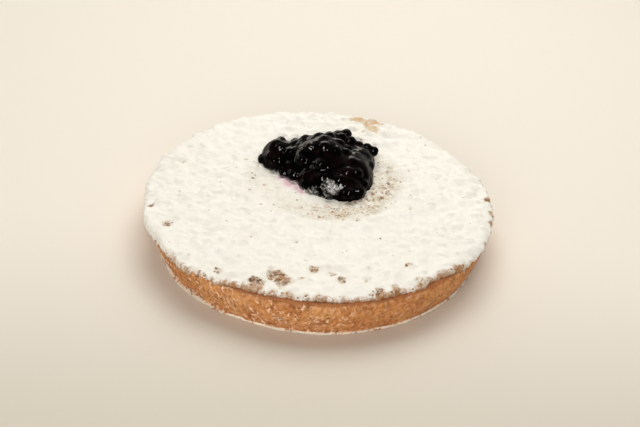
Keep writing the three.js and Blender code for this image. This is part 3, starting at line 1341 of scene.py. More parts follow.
    def close(self, bm: Mesh) -> None:
        """Runs the crumb's edge down over the rim and into the recess, and closes the underside.

        Args:
            bm: The crumb's open top.
        """
        form = self.form
        layer = bm.verts.layers.float[SUGAR]
        edge = [e for e in bm.edges if e.is_boundary]
        for ring in self.hanging:
            edge, made = next_ring(bm, edge)
            for vertex in made:
                self.hang(vertex, ring, layer)
        for vertex in made:
            reach = math.hypot(vertex.co.x, vertex.co.y)
            if reach < form.rim_radius:
                vertex.co.z = min(vertex.co.z, form.rim_top(reach) - self.rim_overlap)
        inner = form.rim_radius - form.rim_width - self.seat_gap
        seats = (
            (self.rim_lap, form.crust_height - self.seat_gap),
            (math.inf, form.crust_height - 2.0 * self.seat_gap),
            (math.inf, form.recess_floor + self.seat_gap),
        )
        for inward, height in seats:
            edge, made = next_ring(bm, edge)
            for vertex in made:
                reach = math.hypot(vertex.co.x, vertex.co.y)
                grown = max(reach - inward, inner) / reach
                vertex.co = (vertex.co.x * grown, vertex.co.y * grown, height)
                vertex[layer] = 0.0
        bmesh.ops.edgeloop_fill(bm, edges=edge)

    def hang(self, vertex: bmesh.types.BMVert, ring: HangingRing, layer: bmesh.types.BMLayerItem) -> None:
        """Moves a new vertex of the crumb's edge down over the rim, and bares it.

        Args:
            vertex: The vertex, at the place of the one above it.
            ring: The ring that it belongs to.
            layer: The mesh's values of sugar cover.
        """
        x, y, height = vertex.co
        reach, angle = math.hypot(x, y), np.arctan2(y, x)
        drape = float(self.drape.moved(angle))
        uneven = 1.0 + self.drop_unevenness * noise.noise(Vector((x, y, 0.0)) / self.drop_size)
        grown = 1.0 + (ring.outward - self.drape_inset * drape * ring.draped) / reach
        vertex.co = (x * grown, y * grown, height - ring.drop * uneven - drape * ring.draped)
        vertex[layer] = max(0.0, vertex[layer] - ring.bared * float(self.bare_edge.moved(angle)))


@dataclass(frozen=True)
class Mound:
    """A mound of jelly: half an ellipsoid that stands on the dip's floor."""

    x: float
    y: float
    width: float
    depth: float
    height: float


@dataclass(frozen=True)
class Berry:
    """One blueberry: its centre over the dip's floor, and its radius."""

    x: float
    y: float
    height: float
    radius: float


@dataclass(frozen=True)
class Dusting:
    """Sugar that fell on the jelly: its middle over the dip's floor, its reach and its thickest cover."""

    x: float
    y: float
    height: float
    reach: float
    most: float


@dataclass(frozen=True)
class Crown:
    """The crown in a blueberry's top: a hollow with a pointed rim, in shares of the berry's radius."""

    points: float = 5.0
    point_depth: float = 0.18
    reach: float = 0.6
    rim_radius: float = 0.32
    rim_width: float = 0.07
    rim_height: float = 0.07
    hollow_radius: float = 0.24
    hollow_depth: float = 0.10

    def press(self, place: Vector, radius: float) -> Vector:
        """Presses the crown into a ball's top.

        Args:
            place: A point of the ball.
            radius: The ball's radius.

        Returns:
            The point's new place.
        """
        away = math.hypot(place.x, place.y) / radius
        if place.z < 0.0 or away > self.reach:
            return place
        points = 1.0 + self.point_depth * math.cos(self.points * math.atan2(place.y, place.x))
        rim = math.exp(-(((away - self.rim_radius * points) / self.rim_width) ** 2))
        hollow = math.exp(-((away / self.hollow_radius) ** 2))
        return place * (1.0 + self.rim_height * rim - self.hollow_depth * hollow)


@dataclass
class BerryHeap:
    """The heap of blueberries in jelly that lies in the dip."""

    form: PieForm
    jelly_finish: Finish
    berry_finish: Finish
    mounds: tuple[Mound, ...]
    edge_berries: tuple[Triple, ...]
    sunk_berries: tuple[Pair, ...]
    dustings: tuple[Dusting, ...]
    crown: Crown = Crown()
    berry_radius: float = 4.5
    berry_variation: float = 0.1
    berry_draw: float = 5.0
    berry_flatness: float = 0.92
    berry_sink: float = 2.5
    berry_bareness: float = 0.87
    berry_roundness: int = 4
    berry_tilt: Pair = (0.2, 1.4)
    berry_seed: int = 3
    lump_roundness: int = 3
    blending: float = 6.0
    core_half: float = 52.0
    core_steps: int = 150
    voxel: float = 0.62
    smoothing: float = 0.5
    smoothing_steps: int = 24
    folds: tuple[Pair, ...] = ((10.0, 0.8), (5.0, 0.3))
    root: float = 2.5
    dust_jitter_size: float = 5.0
    dust_jitter: float = 0.3
    dust_core: float = 0.3
    fringe: float = 0.42
    fringe_height: Pair = (0.3, 3.0)
    fringe_end: Pair = (-8.0, 14.0)

    def build(self) -> tuple[bpy.types.Object, bpy.types.Object]:
        """Models the jelly and the blueberries, and gives them their finishes."""
        return self.jelly(), self.berries()

    def rise(self, x: Array, y: Array) -> Array:
        """Height of the jelly over the dip's floor, or 0 beside it, with its mounds run together.

        Args:
            x: Places across the pie.
            y: Places along the pie.

        Returns:
            The heights.
        """
        total = np.zeros_like(x)
        for mound in self.mounds:
            inside = 1.0 - ((x - mound.x) / mound.width) ** 2 - ((y - mound.y) / mound.depth) ** 2
            total = total + (mound.height * np.sqrt(np.clip(inside, 0.0, 1.0))) ** self.blending
        return total ** (1.0 / self.blending)

    def berry_places(self) -> list[Berry]:
        """Places the berries.

        Returns:
            The berries that stand out at the edge first, then those sunk into the jelly.
        """
        centres = list(self.edge_berries)
        for x, y in self.sunk_berries:
            rise = float(self.rise(np.float64(x), np.float64(y)))
            centres.append((x, y, max(self.berry_radius, rise) - self.berry_sink))
        berries = []
        for i, (x, y, height) in enumerate(centres):
            spread = 2.0 * float(draw(np.float64(i), np.float64(self.berry_draw))) - 1.0
            berries.append(Berry(x, y, height, self.berry_radius * (1.0 + self.berry_variation * spread)))
        return berries

    def jelly(self) -> bpy.types.Object:
        """Models the jelly: mounds and berries run together into one wet body.

        Returns:
            The piece.
        """
        floor = self.form.dip_floor()
        bm = self.core(floor)
        for berry in self.berry_places():
            place = Matrix.Translation((berry.x, berry.y, floor + berry.height))
            size = Matrix.Diagonal((1.0, 1.0, self.berry_flatness, 1.0))
            bmesh.ops.create_icosphere(
                bm, subdivisions=self.lump_roundness, radius=berry.radius, matrix=place @ size
            )
        bm = self.run_together(bm)
        self.fold(bm)
        cut = bmesh.ops.bisect_plane(
            bm, geom=bm.verts[:] + bm.edges[:] + bm.faces[:], plane_co=(0, 0, floor - self.root),
            plane_no=(0, 0, 1), clear_inner=True,
        )
        bmesh.ops.edgeloop_fill(bm, edges=[g for g in cut["geom_cut"] if isinstance(g, bmesh.types.BMEdge)])
        keep_values(bm, SUGAR, self.sugar(places_of(bm) - np.array([0.0, 0.0, floor])))
        return piece_from(bm, "berry_jelly", self.jelly_finish, Solid.HEAP, stands_for=True)

    def core(self, floor: float) -> Mesh:
        """Models the jelly without its berries, on a slab that lies under the level where it is cut off.

        Args:
            floor: Height of the dip's floor.

        Returns:
            The closed core.
        """
        bm = bmesh.new()
        steps = self.core_steps
        bmesh.ops.create_grid(bm, x_segments=steps, y_segments=steps, size=self.core_half)
        bmesh.ops.translate(bm, vec=(*self.form.dip_centre, 0.0), verts=bm.verts)
        places = places_of(bm)
        rise = self.rise(places[:, 0], places[:, 1])
        places[:, 2] = floor + np.where(rise > 0.0, rise, -2.0 * self.root)
        move_to(bm, places)
        lower, made = next_ring(bm, [e for e in bm.edges if e.is_boundary])
        for vertex in made:
            vertex.co.z = floor - 3.0 * self.root
        bmesh.ops.edgeloop_fill(bm, edges=lower)
        return bm

    def sugar(self, places: Array) -> Array:
        """Where icing sugar has fallen on the jelly.

        Args:
            places: Points over the dip's floor.

        Returns:
            The shares of cover.
        """
        jitter = rough(places, self.dust_jitter_size)
        cover = np.zeros(len(places))
        for dust in self.dustings:
            away = np.linalg.norm(places - np.array([dust.x, dust.y, dust.height]), axis=1) / dust.reach
            away += self.dust_jitter * jitter
            cover = np.maximum(cover, dust.most * (1.0 - ramp(self.dust_core, 1.0, away)))
        low = 1.0 - ramp(*self.fringe_height, places[:, 2] + jitter)
        return np.maximum(cover, self.fringe * low * (1.0 - ramp(*self.fringe_end, places[:, 0])))

    def fold(self, bm: Mesh) -> None:
        """Gives the jelly's smooth surface its soft folds.

        Args:
            bm: The jelly.
        """
        bm.normal_update()
        places = places_of(bm)
        outward = np.array([vertex.normal[:] for vertex in bm.verts])
        depth = sum(most * rough(places + size, size, 2) for size, most in self.folds)
        move_to(bm, places + outward * depth[:, None])

    def run_together(self, bm: Mesh) -> Mesh:
        """Makes one smooth closed body of overlapping lumps.

        Args:
            bm: The lumps, which are used up.

        Returns:
            The body.
        """
        mesh = bpy.data.meshes.new("jelly_lumps")
        bm.to_mesh(mesh)
        bm.free()
        lumps = placed("jelly_lumps", mesh)
        remesh = lumps.modifiers.new("run_together", "REMESH")
        remesh.mode = "VOXEL"
        remesh.voxel_size = self.voxel
        smooth = lumps.modifiers.new("wet", "SMOOTH")
        smooth.factor = self.smoothing
        smooth.iterations = self.smoothing_steps
        body = bmesh.new()
        body.from_object(lumps, bpy.context.evaluated_depsgraph_get())
        bpy.data.objects.remove(lumps)
        bpy.data.meshes.remove(mesh)
        return body

    def berries(self) -> bpy.types.Object:
        """Models the blueberries that stand out of the jelly, each with its crown.

        Returns:
            The piece.
        """
        floor = self.form.dip_floor()
        chance = np.random.default_rng(self.berry_seed)
        bm = bmesh.new()
        for berry in self.berry_places()[: len(self.edge_berries)]:
            radius = self.berry_bareness * berry.radius
            made = bmesh.ops.create_icosphere(bm, subdivisions=self.berry_roundness, radius=radius)["verts"]
            for vertex in made:
                vertex.co = self.crown.press(vertex.co, radius)
            turn = Matrix.Rotation(chance.uniform(0.0, math.tau), 4, "Z")
            tilt = Matrix.Rotation(chance.uniform(*self.berry_tilt), 4, "X")
            place = Matrix.Translation((berry.x, berry.y, floor + berry.height))
            bmesh.ops.transform(bm, matrix=place @ turn @ tilt, verts=made)
        return piece_from(bm, "blueberries", self.berry_finish, Solid.HEAP)


@dataclass
class Scatter:
    """Many small lumps of a kind, made as one joined mesh from a few shapes."""

    name: str
    finish: Finish
    solid: Solid
    seed: int
    roundness: int = 2
    shape_count: int = 5
    shape_shift: float = 17.0
    raggedness: Layers = ((0.3, 0.9, 2),)
    squash: Pair = (0.6, 0.9)
    top_sugar: float = 0.15

    def shapes(self) -> list[tuple[Array, Array]]:
        """Models a few uneven lumps of radius 1.

        Returns:
            The points and triangles of each.
        """
        made = []
        for i in range(self.shape_count):
            bm = bmesh.new()
            bmesh.ops.create_icosphere(bm, subdivisions=self.roundness, radius=1.0)
            places = places_of(bm)
            uneven = layered(places + self.shape_shift * i, self.raggedness)
            bm.verts.index_update()
            faces = np.array([[v.index for v in face.verts] for face in bm.faces])
            made.append((places * (1.0 + uneven)[:, None], faces))
            bm.free()
        return made

    def build(self, centres: Array, sizes: Array, sugar: Array, tone: Array) -> bpy.types.Object:
        """Models one lump at each centre.

        Args:
            centres: The lumps' places, one to a row.
            sizes: Their radii.
            sugar: How much sugar lies on each.
            tone: How toasted each is.

        Returns:
            The piece.
        """
        chance = np.random.default_rng(self.seed)
        shapes = self.shapes()
        points, faces, cover, tones, count = [], [], [], [], 0
        for centre, size, dusted, toasted in zip(centres, sizes, sugar, tone):
            place, triangles = shapes[int(chance.integers(len(shapes)))]
            angle, axis = chance.uniform(0.0, math.tau), Vector(chance.normal(size=3)).normalized()
            squash = np.array([1.0, 1.0, chance.uniform(*self.squash)])
            lump = (place @ np.array(Matrix.Rotation(angle, 3, axis))) * squash
            points.append(lump * size + centre)
            faces.append(triangles + count)
            cover.append(np.clip(dusted + self.top_sugar * lump[:, 2], 0.0, 1.0))
            tones.append(np.full(len(place), toasted))
            count += len(place)
        mesh = bpy.data.meshes.new(self.name)
        mesh.from_pydata(np.concatenate(points).tolist(), [], np.concatenate(faces).tolist())
        bm = bmesh.new()
        bm.from_mesh(mesh)
        bpy.data.meshes.remove(mesh)
        keep_values(bm, SUGAR, np.concatenate(cover))
        keep_values(bm, TONE, np.concatenate(tones))
        return piece_from(bm, self.name, self.finish, self.solid)


@dataclass(frozen=True)
class BitKind:
    """A kind of loose crumb: radii, height of its centre in radii, sugar on it, and how toasted it is."""

    size: Pair
    lift: float
    dusting: float
    toasted: float = 0.0


@dataclass
class CrumbBits:
    """Loose brown crumbs that stand out of the sugar: at its bare patches, along its edge, and singly."""

    topping: CrumbTopping
    scatter: Scatter
    patch_kind: BitKind = BitKind((0.5, 1.2), -0.4, -0.4)
    patch_density: float = 0.05
    patch_reach: float = 0.65
    edge_kind: BitKind = BitKind((0.4, 1.0), -0.3, -0.15, 0.95)
    edge_count: int = 60
    edge_heading: Pair = (math.radians(-128.0), math.radians(-32.0))
    edge_inset: Pair = (0.2, 1.0)
    speck_kind: BitKind = BitKind((0.35, 0.85), -0.4, 0.22)
    speck_count: int = 80
    speck_reach: Pair = (0.02, 1.0)
    ring_kind: BitKind = BitKind((0.4, 1.25), -0.4, 0.2)
    ring_count: int = 95
    ring_radius: float = 46.0
    ring_width: float = 7.5
    ring_spread: float = math.radians(75.0)
    edge_margin: float = 0.2
    sugar_share: float = 0.4
    sugar_chance: Pair = (0.4, 1.0)
    seed: int = 21

    def build(self) -> bpy.types.Object:
        """Places the crumbs on the topping and models them.

        Returns:
            The piece.
        """
        chance = np.random.default_rng(self.seed)
        groups = [
            (self.in_patches(chance), self.patch_kind),
            (self.along_edge(chance), self.edge_kind),
            (self.as_specks(chance), self.speck_kind),
            (self.in_ring(chance), self.ring_kind),
        ]
        centres, sizes, sugar, tone = [], [], [], []
        for (x, y), kind in groups:
            inside = np.hypot(x, y) < self.topping.edge_radius(np.arctan2(y, x)) - self.edge_margin
            x, y = x[inside], y[inside]
            least, most = kind.size
            radius = least + (most - least) * chance.uniform(size=len(x)) ** 2
            height, cover = self.topping.surface(x, y)
            centres.append(np.column_stack([x, y, height + kind.lift * radius]))
            sizes.append(radius)
            kept = chance.uniform(*self.sugar_chance, len(x))
            sugar.append(kind.dusting + self.sugar_share * cover * kept)
            tone.append(np.full(len(x), kind.toasted))
        return self.scatter.build(*(np.concatenate(rows) for rows in (centres, sizes, sugar, tone)))

    def in_patches(self, chance: np.random.Generator) -> tuple[Array, Array]:
        """Draws places in the bare patches, the more the barer and larger a patch is.

        Args:
            chance: The source of the draws.

        Returns:
            The places.
        """
        x, y = [], []
        for patch in self.topping.patches:
            share = patch.bareness if patch.fresh == 0.0 else 0.0
            count = round(self.patch_density * math.pi * patch.radius**2 * share)
            reach = patch.radius * self.patch_reach * np.sqrt(chance.uniform(size=count))
            across, along = at_heading(reach, chance.uniform(0.0, math.tau, count))
            x.append(patch.x + across)
            y.append(patch.y + along)
        return np.concatenate(x), np.concatenate(y)

    def along_edge(self, chance: np.random.Generator) -> tuple[Array, Array]:
        """Draws places along the crumb's edge.

        Args:
            chance: The source of the draws.

        Returns:
            The places.
        """
        turns = chance.uniform(*self.edge_heading, self.edge_count)
        inset = np.abs(chance.normal(*self.edge_inset, self.edge_count))
        return at_heading(self.topping.edge_radius(turns) - inset, turns)

    def as_specks(self, chance: np.random.Generator) -> tuple[Array, Array]:
        """Draws places all over the top.

        Args:
            chance: The source of the draws.

        Returns:
            The places.
        """
        turns = chance.uniform(-math.pi, math.pi, self.speck_count)
        reach = self.topping.form.rim_radius * np.sqrt(chance.uniform(*self.speck_reach, self.speck_count))
        return at_heading(reach, turns)

    def in_ring(self, chance: np.random.Generator) -> tuple[Array, Array]:
        """Draws places in the ring of thin sugar round the heap.

        Args:
            chance: The source of the draws.

        Returns:
            The places.
        """
        turns = chance.normal(self.topping.thin_ring_heading, self.ring_spread, self.ring_count)
        reach = chance.normal(self.ring_radius, self.ring_width, self.ring_count)
        across, along = at_heading(reach, turns)
        middle_x, middle_y = self.topping.form.dip_centre
        return middle_x + across, middle_y + along


@dataclass
class SugarClumps:
    """Loose clumps of icing sugar on the top, over the rim, on the crust's skirt and round the heap."""

    topping: CrumbTopping
    crust: Crust
    scatter: Scatter
    size: Pair = (0.3, 0.8)
    sink: float = 0.25
    top_count: int = 1500
    top_margin: float = 1.5
    top_chance: Pair = (0.2, 0.8)
    skirt_count: int = 300
    skirt_size: Pair = (0.3, 0.75)
    skirt_share: Pair = (0.15, 0.85)
    rim_count: int = 1500
    rim_inset: float = 1.0
    rim_fall: float = 2.2
    rim_outward: float = 0.3
    rim_slope: float = 0.2
    rim_chance: Pair = (0.6, 1.0)
    heap_count: int = 420
    heap_ring: Pair = (37.0, 6.0)
    seed: int = 33

    def build(self) -> bpy.types.Object:
        """Places the clumps and models them.

        Returns:
            The piece.
        """
        chance = np.random.default_rng(self.seed)
        groups = [self.on_top(chance), self.on_skirt(chance), self.over_rim(chance), self.round_heap(chance)]
        centres, radii = (np.concatenate(rows) for rows in zip(*groups))
        return self.scatter.build(centres, radii, np.ones(len(centres)), np.zeros(len(centres)))

    def on_top(self, chance: np.random.Generator) -> tuple[Array, Array]:
        """Draws clumps all over the top, fewer where it is bare.

        Args:
            chance: The source of the draws.

        Returns:
            The clumps' centres and radii.
        """
        reach = self.topping.form.rim_radius - self.top_margin
        reach = reach * np.sqrt(chance.uniform(size=self.top_count))
        x, y = at_heading(reach, chance.uniform(-math.pi, math.pi, self.top_count))
        height, cover = self.topping.surface(x, y)
        kept = cover > chance.uniform(*self.top_chance, self.top_count)
        least, most = self.size
        radii = least + (most - least) * chance.uniform(size=self.top_count) ** 3
        return np.column_stack([x, y, height - self.sink * radii])[kept], radii[kept]

    def on_skirt(self, chance: np.random.Generator) -> tuple[Array, Array]:
        """Draws clumps on the crust's skirt.

        Args:
            chance: The source of the draws.

        Returns:
            The clumps' centres and radii.
        """
        crust, count = self.crust, self.skirt_count
        turns = chance.uniform(-math.pi, math.pi, count)
        reach = crust.form.foot_radius + crust.skirt_reach * chance.uniform(*self.skirt_share, count)
        height = np.full(count, crust.skirt_thickness)
        return np.column_stack([*at_heading(reach, turns), height]), chance.uniform(*self.skirt_size, count)

    def over_rim(self, chance: np.random.Generator) -> tuple[Array, Array]:
        """Draws clumps that hang over the rim, where the crumb's edge isn't bare.

        Args:
            chance: The source of the draws.

        Returns:
            The clumps' centres and radii.
        """
        turns = chance.uniform(-math.pi, math.pi, self.rim_count)
        fall = self.rim_fall * chance.uniform(size=self.rim_count)
        reach = self.topping.edge_radius(turns) - chance.uniform(0.0, self.rim_inset, self.rim_count)
        x, y = at_heading(reach, turns)
        outward = 1.0 + (self.rim_outward + fall * self.rim_slope) / reach
        height, cover = self.topping.surface(x, y)
        kept = cover > chance.uniform(*self.rim_chance, self.rim_count)
        centres = np.column_stack([x * outward, y * outward, height - fall])
        return centres[kept], chance.uniform(*self.size, self.rim_count)[kept]

    def round_heap(self, chance: np.random.Generator) -> tuple[Array, Array]:
        """Draws clumps round the heap's foot.

        Args:
            chance: The source of the draws.

        Returns:
            The clumps' centres and radii.
        """
        turns = chance.uniform(-math.pi, math.pi, self.heap_count)
        across, along = at_heading(chance.normal(*self.heap_ring, self.heap_count), turns)
        x = self.topping.form.dip_centre[0] + across
        y = self.topping.form.dip_centre[1] + along
        radii = chance.uniform(*self.size, self.heap_count)
        return np.column_stack([x, y, self.topping.surface(x, y)[0] - self.sink * radii]), radii


@dataclass(frozen=True)
class PhotoView:
    """The camera at the photograph's view: sizes in millimetres, angles in degrees, pixels of its frame."""

    image_size: tuple[int, int] = (640, 427)
    focal_pixels: float = 1435.0
    elevation: float = 34.77
    distance: float = 1028.6
    roll: float = -4.14
    origin_pixel: Pair = (316.8, 234.6)
    sensor_width: float = 36.0
    nearest: float = 10.0

    def build(self) -> bpy.types.Object:
        """Makes the scene's camera.

        Returns:
            The camera.
        """
        data = bpy.data.cameras.new("camera")
        data.sensor_width = self.sensor_width
        data.lens = self.sensor_width * self.focal_pixels / self.image_size[0]
        data.clip_start = self.nearest * MM
        camera = placed("camera", data)
        rise = math.radians(self.elevation)
        eye = Vector((0.0, -math.cos(rise), math.sin(rise))) * self.distance * MM
        facing = Matrix.Rotation(0.5 * math.pi - rise, 4, "X")
        rolled = Matrix.Rotation(-math.radians(self.roll), 4, "Z")
        up = math.atan((self.origin_pixel[1] - self.image_size[1] / 2.0) / self.focal_pixels)
        aside = math.atan((self.image_size[0] / 2.0 - self.origin_pixel[0]) / self.focal_pixels)
        aim = Matrix.Rotation(up, 4, "X") @ Matrix.Rotation(-aside, 4, "Y")
        camera.matrix_world = Matrix.Translation(eye) @ facing @ rolled @ aim
        bpy.context.scene.camera = camera
        return camera


class LightUse(Enum):
    """What a light does: it softly lights matte surfaces, or it only glints on wet ones."""

    FILL = "fill"
    GLINT = "glint"


@dataclass(frozen=True)
class SoftBox:
    """A studio light, by its place, width and height in metres and its power in watts."""

    name: str
    use: LightUse
    place: Triple
    size: Pair
    power: float
    colour: Triple = (1.0, 0.97, 0.92)

    def build(self, target: Vector) -> bpy.types.Object:
        """Makes the light.

        Args:
            target: The point that it is turned to.

        Returns:
            The light.
        """
        data = bpy.data.lights.new(self.name, "AREA")
        data.shape = "RECTANGLE"
        data.size, data.size_y = self.size
        data.energy = self.power
        data.color = self.colour
        light = placed(self.name, data)
        light.location = self.place
        light.rotation_euler = (target - Vector(self.place)).to_track_quat("-Z", "Y").to_euler()
        light.visible_glossy = self.use is LightUse.GLINT
        light.visible_diffuse = self.use is LightUse.FILL
        light.visible_camera = False
        return light


@dataclass
class Studio:
    """The pale floor, the soft light and the camera, in metres."""

    floor_finish: Finish
    view: PhotoView
    lights: tuple[SoftBox, ...]
    floor_half: float = 2.0
    sky_front: float = 0.16
    sky_back: float = 0.8
    sky_turn: Pair = (-0.2, 0.8)
    sky_tint: Triple = (1.0, 0.97, 0.91)
    target: Triple = (0.0, 0.0, 0.03)

    def build(self) -> None:
        """Sets up the studio."""
        self.floor()
        self.sky()
        for light in self.lights:
            light.build(Vector(self.target))
        self.view.build()
        bpy.context.scene.view_settings.view_transform = "Standard"

    def floor(self) -> None:
        """Lays the floor under the pie."""
        bm = bmesh.new()
        bmesh.ops.create_grid(bm, x_segments=1, y_segments=1, size=self.floor_half)
        mesh = bpy.data.meshes.new("floor")
        bm.to_mesh(mesh)
        bm.free()
        mesh.materials.append(self.floor_finish.material())
        floor = placed("floor", mesh)

    def sky(self) -> None:
        """Fills the room with light that is brighter behind the pie."""
        world = bpy.data.worlds.new("room")
        world.use_nodes = True
        sheet = ShaderSheet(world.node_tree)
        heading = sheet.add("ShaderNodeTexCoord").outputs["Generated"]
        backward = sheet.add("ShaderNodeSeparateXYZ", {0: heading}).outputs["Y"]
        strength = sheet.span(backward, *self.sky_turn, self.sky_front, self.sky_back)
        light = sheet.add("ShaderNodeBackground", {"Color": (*self.sky_tint, 1.0), "Strength": strength})
        sheet.add("ShaderNodeOutputWorld", {"Surface": light.outputs[0]})
        bpy.context.scene.world = world


BARE_PATCHES = (
    BarePatch(-25.0, -96.0, 8.5, 0.66),
    BarePatch(-19.0, -102.0, 8.5, 0.64),
    BarePatch(-36.0, -105.0, 8.0, 0.68),
    BarePatch(-62.0, -94.0, 4.5, 0.55),
    BarePatch(0.0, -88.0, 4.5, 0.62),
    BarePatch(12.0, -92.0, 4.5, 0.6),
    BarePatch(18.0, -98.0, 4.0, 0.6),
    BarePatch(-8.0, -100.0, 4.0, 0.45),
    BarePatch(62.0, -75.0, 4.5, 0.55),
    BarePatch(43.0, -106.0, 6.0, 0.66),
    BarePatch(54.0, -101.0, 5.0, 0.5),
    BarePatch(69.0, -91.0, 5.0, 0.42),
    BarePatch(84.0, -82.0, 5.0, 0.42),
    BarePatch(95.0, -72.0, 4.5, 0.5),
    BarePatch(120.0, 12.0, 4.6, 0.85),
    BarePatch(121.5, -4.0, 3.6, 0.7),
    BarePatch(120.5, -15.0, 3.6, 0.7),
    BarePatch(116.5, -40.0, 3.5, 0.5),
    BarePatch(24.0, 112.0, 6.8, 0.75, 0.8),
    BarePatch(33.0, 109.0, 8.6, 0.7, 0.8),
    BarePatch(41.0, 109.0, 7.0, 0.66, 0.75),
    BarePatch(36.0, 98.0, 8.6, 0.62, 0.85),
    BarePatch(16.0, -20.0, 8.0, 0.13, 0.35),
    BarePatch(41.0, -11.0, 7.0, 0.13, 0.35),
    BarePatch(-101.5, -45.0, 5.5, 0.7),
    BarePatch(-116.0, -26.0, 3.0, 0.5),
)

EDGE_STRETCHES = (
    EdgeStretch(heading=-79.0, spread=40.0, reach=-4.6),
    EdgeStretch(heading=-146.0, spread=20.0, reach=2.0),
)

LEFT_DRAPE = EdgeStretch(heading=-146.0, spread=18.0, reach=3.2)

BARE_EDGE = EdgeStretch(heading=-88.0, spread=56.0, reach=1.0)

SKIRT_STRETCHES = (
    EdgeStretch(heading=-133.0, spread=14.0, reach=1.8),
    EdgeStretch(heading=-111.0, spread=7.0, reach=-0.8),
)

FLOURY_WALL = EdgeStretch(heading=-104.0, spread=15.0, reach=0.16)

SMOOTH_WALL = EdgeStretch(heading=-54.0, spread=24.0, reach=0.6)

MOUNDS = (
    Mound(3.0, 37.0, 17.0, 26.0, 25.5),
    Mound(6.0, 24.0, 24.0, 25.0, 16.0),
    Mound(21.0, 28.0, 17.0, 20.0, 19.0),
    Mound(18.0, 12.0, 15.0, 14.0, 13.0),
    Mound(-9.0, 40.0, 24.0, 21.0, 19.5),
    Mound(-28.0, 43.0, 16.5, 14.0, 14.5),
    Mound(12.0, 50.0, 19.0, 12.0, 17.5),
    Mound(29.0, 50.0, 10.0, 13.0, 13.0),
    Mound(-32.0, 47.0, 11.0, 10.0, 16.0),
    Mound(-14.0, 51.0, 12.0, 8.0, 14.0),
    Mound(1.0, 55.0, 10.0, 8.0, 16.0),
    Mound(-23.0, 51.0, 9.0, 7.0, 13.0),
    Mound(-7.0, 40.0, 15.0, 22.0, 22.0),
    Mound(25.0, 42.0, 13.0, 14.0, 14.5),
    Mound(-36.0, 46.5, 9.0, 10.0, 14.5),
    Mound(8.0, 57.0, 15.0, 8.0, 16.5),
)

# Berries that stand out at the heap's edge and top: their centres over the dip's floor
EDGE_BERRIES = (
    (-42.5, 41.0, 4.0),
    (-37.0, 48.0, 11.0),
    (-31.0, 51.0, 12.5),
    (-20.5, 54.0, 11.0),
    (-14.0, 54.0, 11.5),
    (-9.0, 54.0, 14.0),
    (-2.0, 56.0, 16.0),
    (4.5, 58.0, 16.5),
    (10.5, 60.0, 16.0),
    (16.0, 61.0, 17.5),
    (32.0, 58.0, 9.0),
    (37.0, 57.0, 7.0),
    (-26.0, 57.0, 4.5),
    (-4.0, 62.0, 7.0),
    (9.0, 65.0, 5.5),
    (24.0, 62.0, 7.0),
    (7.0, 52.0, 19.5),
    (13.0, 53.5, 19.0),
    (19.5, 55.0, 15.5),
    (26.0, 55.0, 11.5),
)

# Berries that are sunk into the jelly, by their places across and along the pie
SUNK_BERRIES = (
    (-34.0, 34.0), (-24.0, 37.0), (-27.0, 26.0), (-14.5, 27.0), (-19.0, 22.0), (-10.0, 16.0),
    (0.5, 40.0), (9.0, 30.0), (-0.5, 19.0), (1.0, 10.5), (12.5, 8.5), (19.0, 15.5),
    (25.0, 16.0), (20.0, 1.0), (27.0, 4.5), (9.5, 50.0), (22.0, 25.0), (34.0, 35.0),
    (30.0, 13.0), (7.0, 1.5), (-38.0, 38.0), (-31.0, 42.0), (1.0, 31.0), (-9.0, 33.0),
    (16.0, 34.0), (-3.0, 45.0), (4.0, 47.0), (11.0, 43.0), (-13.0, 46.0), (-20.0, 46.0),
    (18.0, 46.0),
)

HEAP_DUST = (
    Dusting(7.5, 2.5, 8.0, 7.5, 0.52),
    Dusting(-4.0, 4.0, 1.5, 6.5, 0.34),
)

# Sugar on the crust in a warm cream: partly its colour on the crust, partly painted warm bounce light.
BOUNCE_WARMED_SUGAR = IcingSugar("crust_sugar", white=(0.97, 0.875, 0.745, 1.0), hollow=(0.93, 0.80, 0.64, 1.0))

DAMP_SUGAR = IcingSugar("damp_sugar", white=(0.88, 0.86, 0.825, 1.0), hollow=(0.46, 0.445, 0.425, 1.0))

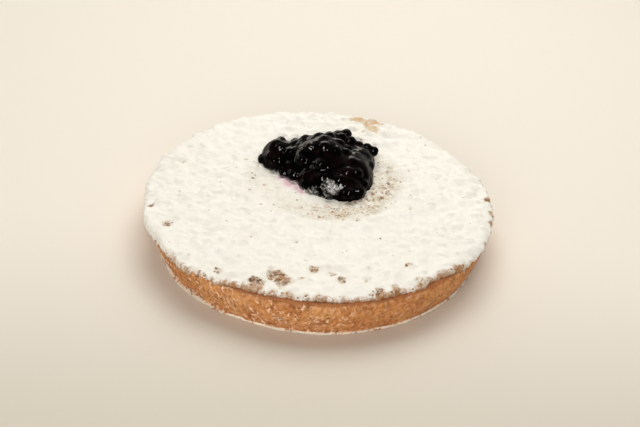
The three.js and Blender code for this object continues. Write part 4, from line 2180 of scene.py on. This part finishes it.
# Loose crumbs, also with painted shade in the gaps between their lumps.
LOOSE_CRUMB = SugaredCrumb(
    "loose_crumb",
    gold=(0.46, 0.285, 0.16, 1.0),
    brown=(0.205, 0.108, 0.052, 1.0),
    gaps=(0.42, 0.68),
    film=0.1,
    thinness=0.0,
)

PANEL_TINT = (1.0, 0.91, 0.81)

LIGHTS = (
    SoftBox("overhead", LightUse.FILL, (0.05, 0.45, 0.95), (0.9, 0.9), 8.1),
    SoftBox("front", LightUse.FILL, (-0.2, -1.2, 0.5), (0.8, 0.8), 8.7),
    SoftBox("glint_front", LightUse.GLINT, (-0.15, -0.95, 0.85), (0.32, 0.32), 50.0),
    SoftBox("glint_high", LightUse.GLINT, (0.05, -0.50, 1.15), (0.18, 0.18), 16.0),
    SoftBox("back_panel", LightUse.GLINT, (-0.3, 1.25, 0.40), (1.3, 0.36), 9.0, PANEL_TINT),
    SoftBox("left_panel", LightUse.GLINT, (-1.20, 0.60, 0.45), (0.8, 0.4), 8.0, PANEL_TINT),
)


def main() -> None:
    """Builds the pie's pieces around the frame, and the studio."""
    logging.basicConfig(level=logging.INFO, format="%(name)s: %(message)s")
    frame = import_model()
    log.info("frame: %s", ", ".join(sorted(frame["nodes"])))
    form = PieForm.from_frame()
    baked = BakedCrust("baked_crust", BOUNCE_WARMED_SUGAR)
    crust = Crust(form, baked, SKIRT_STRETCHES, FLOURY_WALL, SMOOTH_WALL)
    crust.build()
    sugared = SugaredCrumb("sugared_crumb")
    topping = CrumbTopping(form, sugared, BARE_PATCHES, EDGE_STRETCHES, LEFT_DRAPE, BARE_EDGE)
    topping.build()
    jelly, skin = BerryJelly("berry_jelly", DAMP_SUGAR), BerrySkin("berry_skin")
    BerryHeap(form, jelly, skin, MOUNDS, EDGE_BERRIES, SUNK_BERRIES, HEAP_DUST).build()
    bits = Scatter("crumb_bits", LOOSE_CRUMB, Solid.CRUMB, seed=5)
    CrumbBits(topping, bits).build()
    clumps = Scatter("sugar_clumps", SugarGrain("sugar_grain"), Solid.CRUMB, seed=6, roundness=1)
    SugarClumps(topping, crust, clumps).build()
    Studio(PaleFloor("pale_floor"), PhotoView(), LIGHTS).build()


if __name__ == "__main__":
    main()
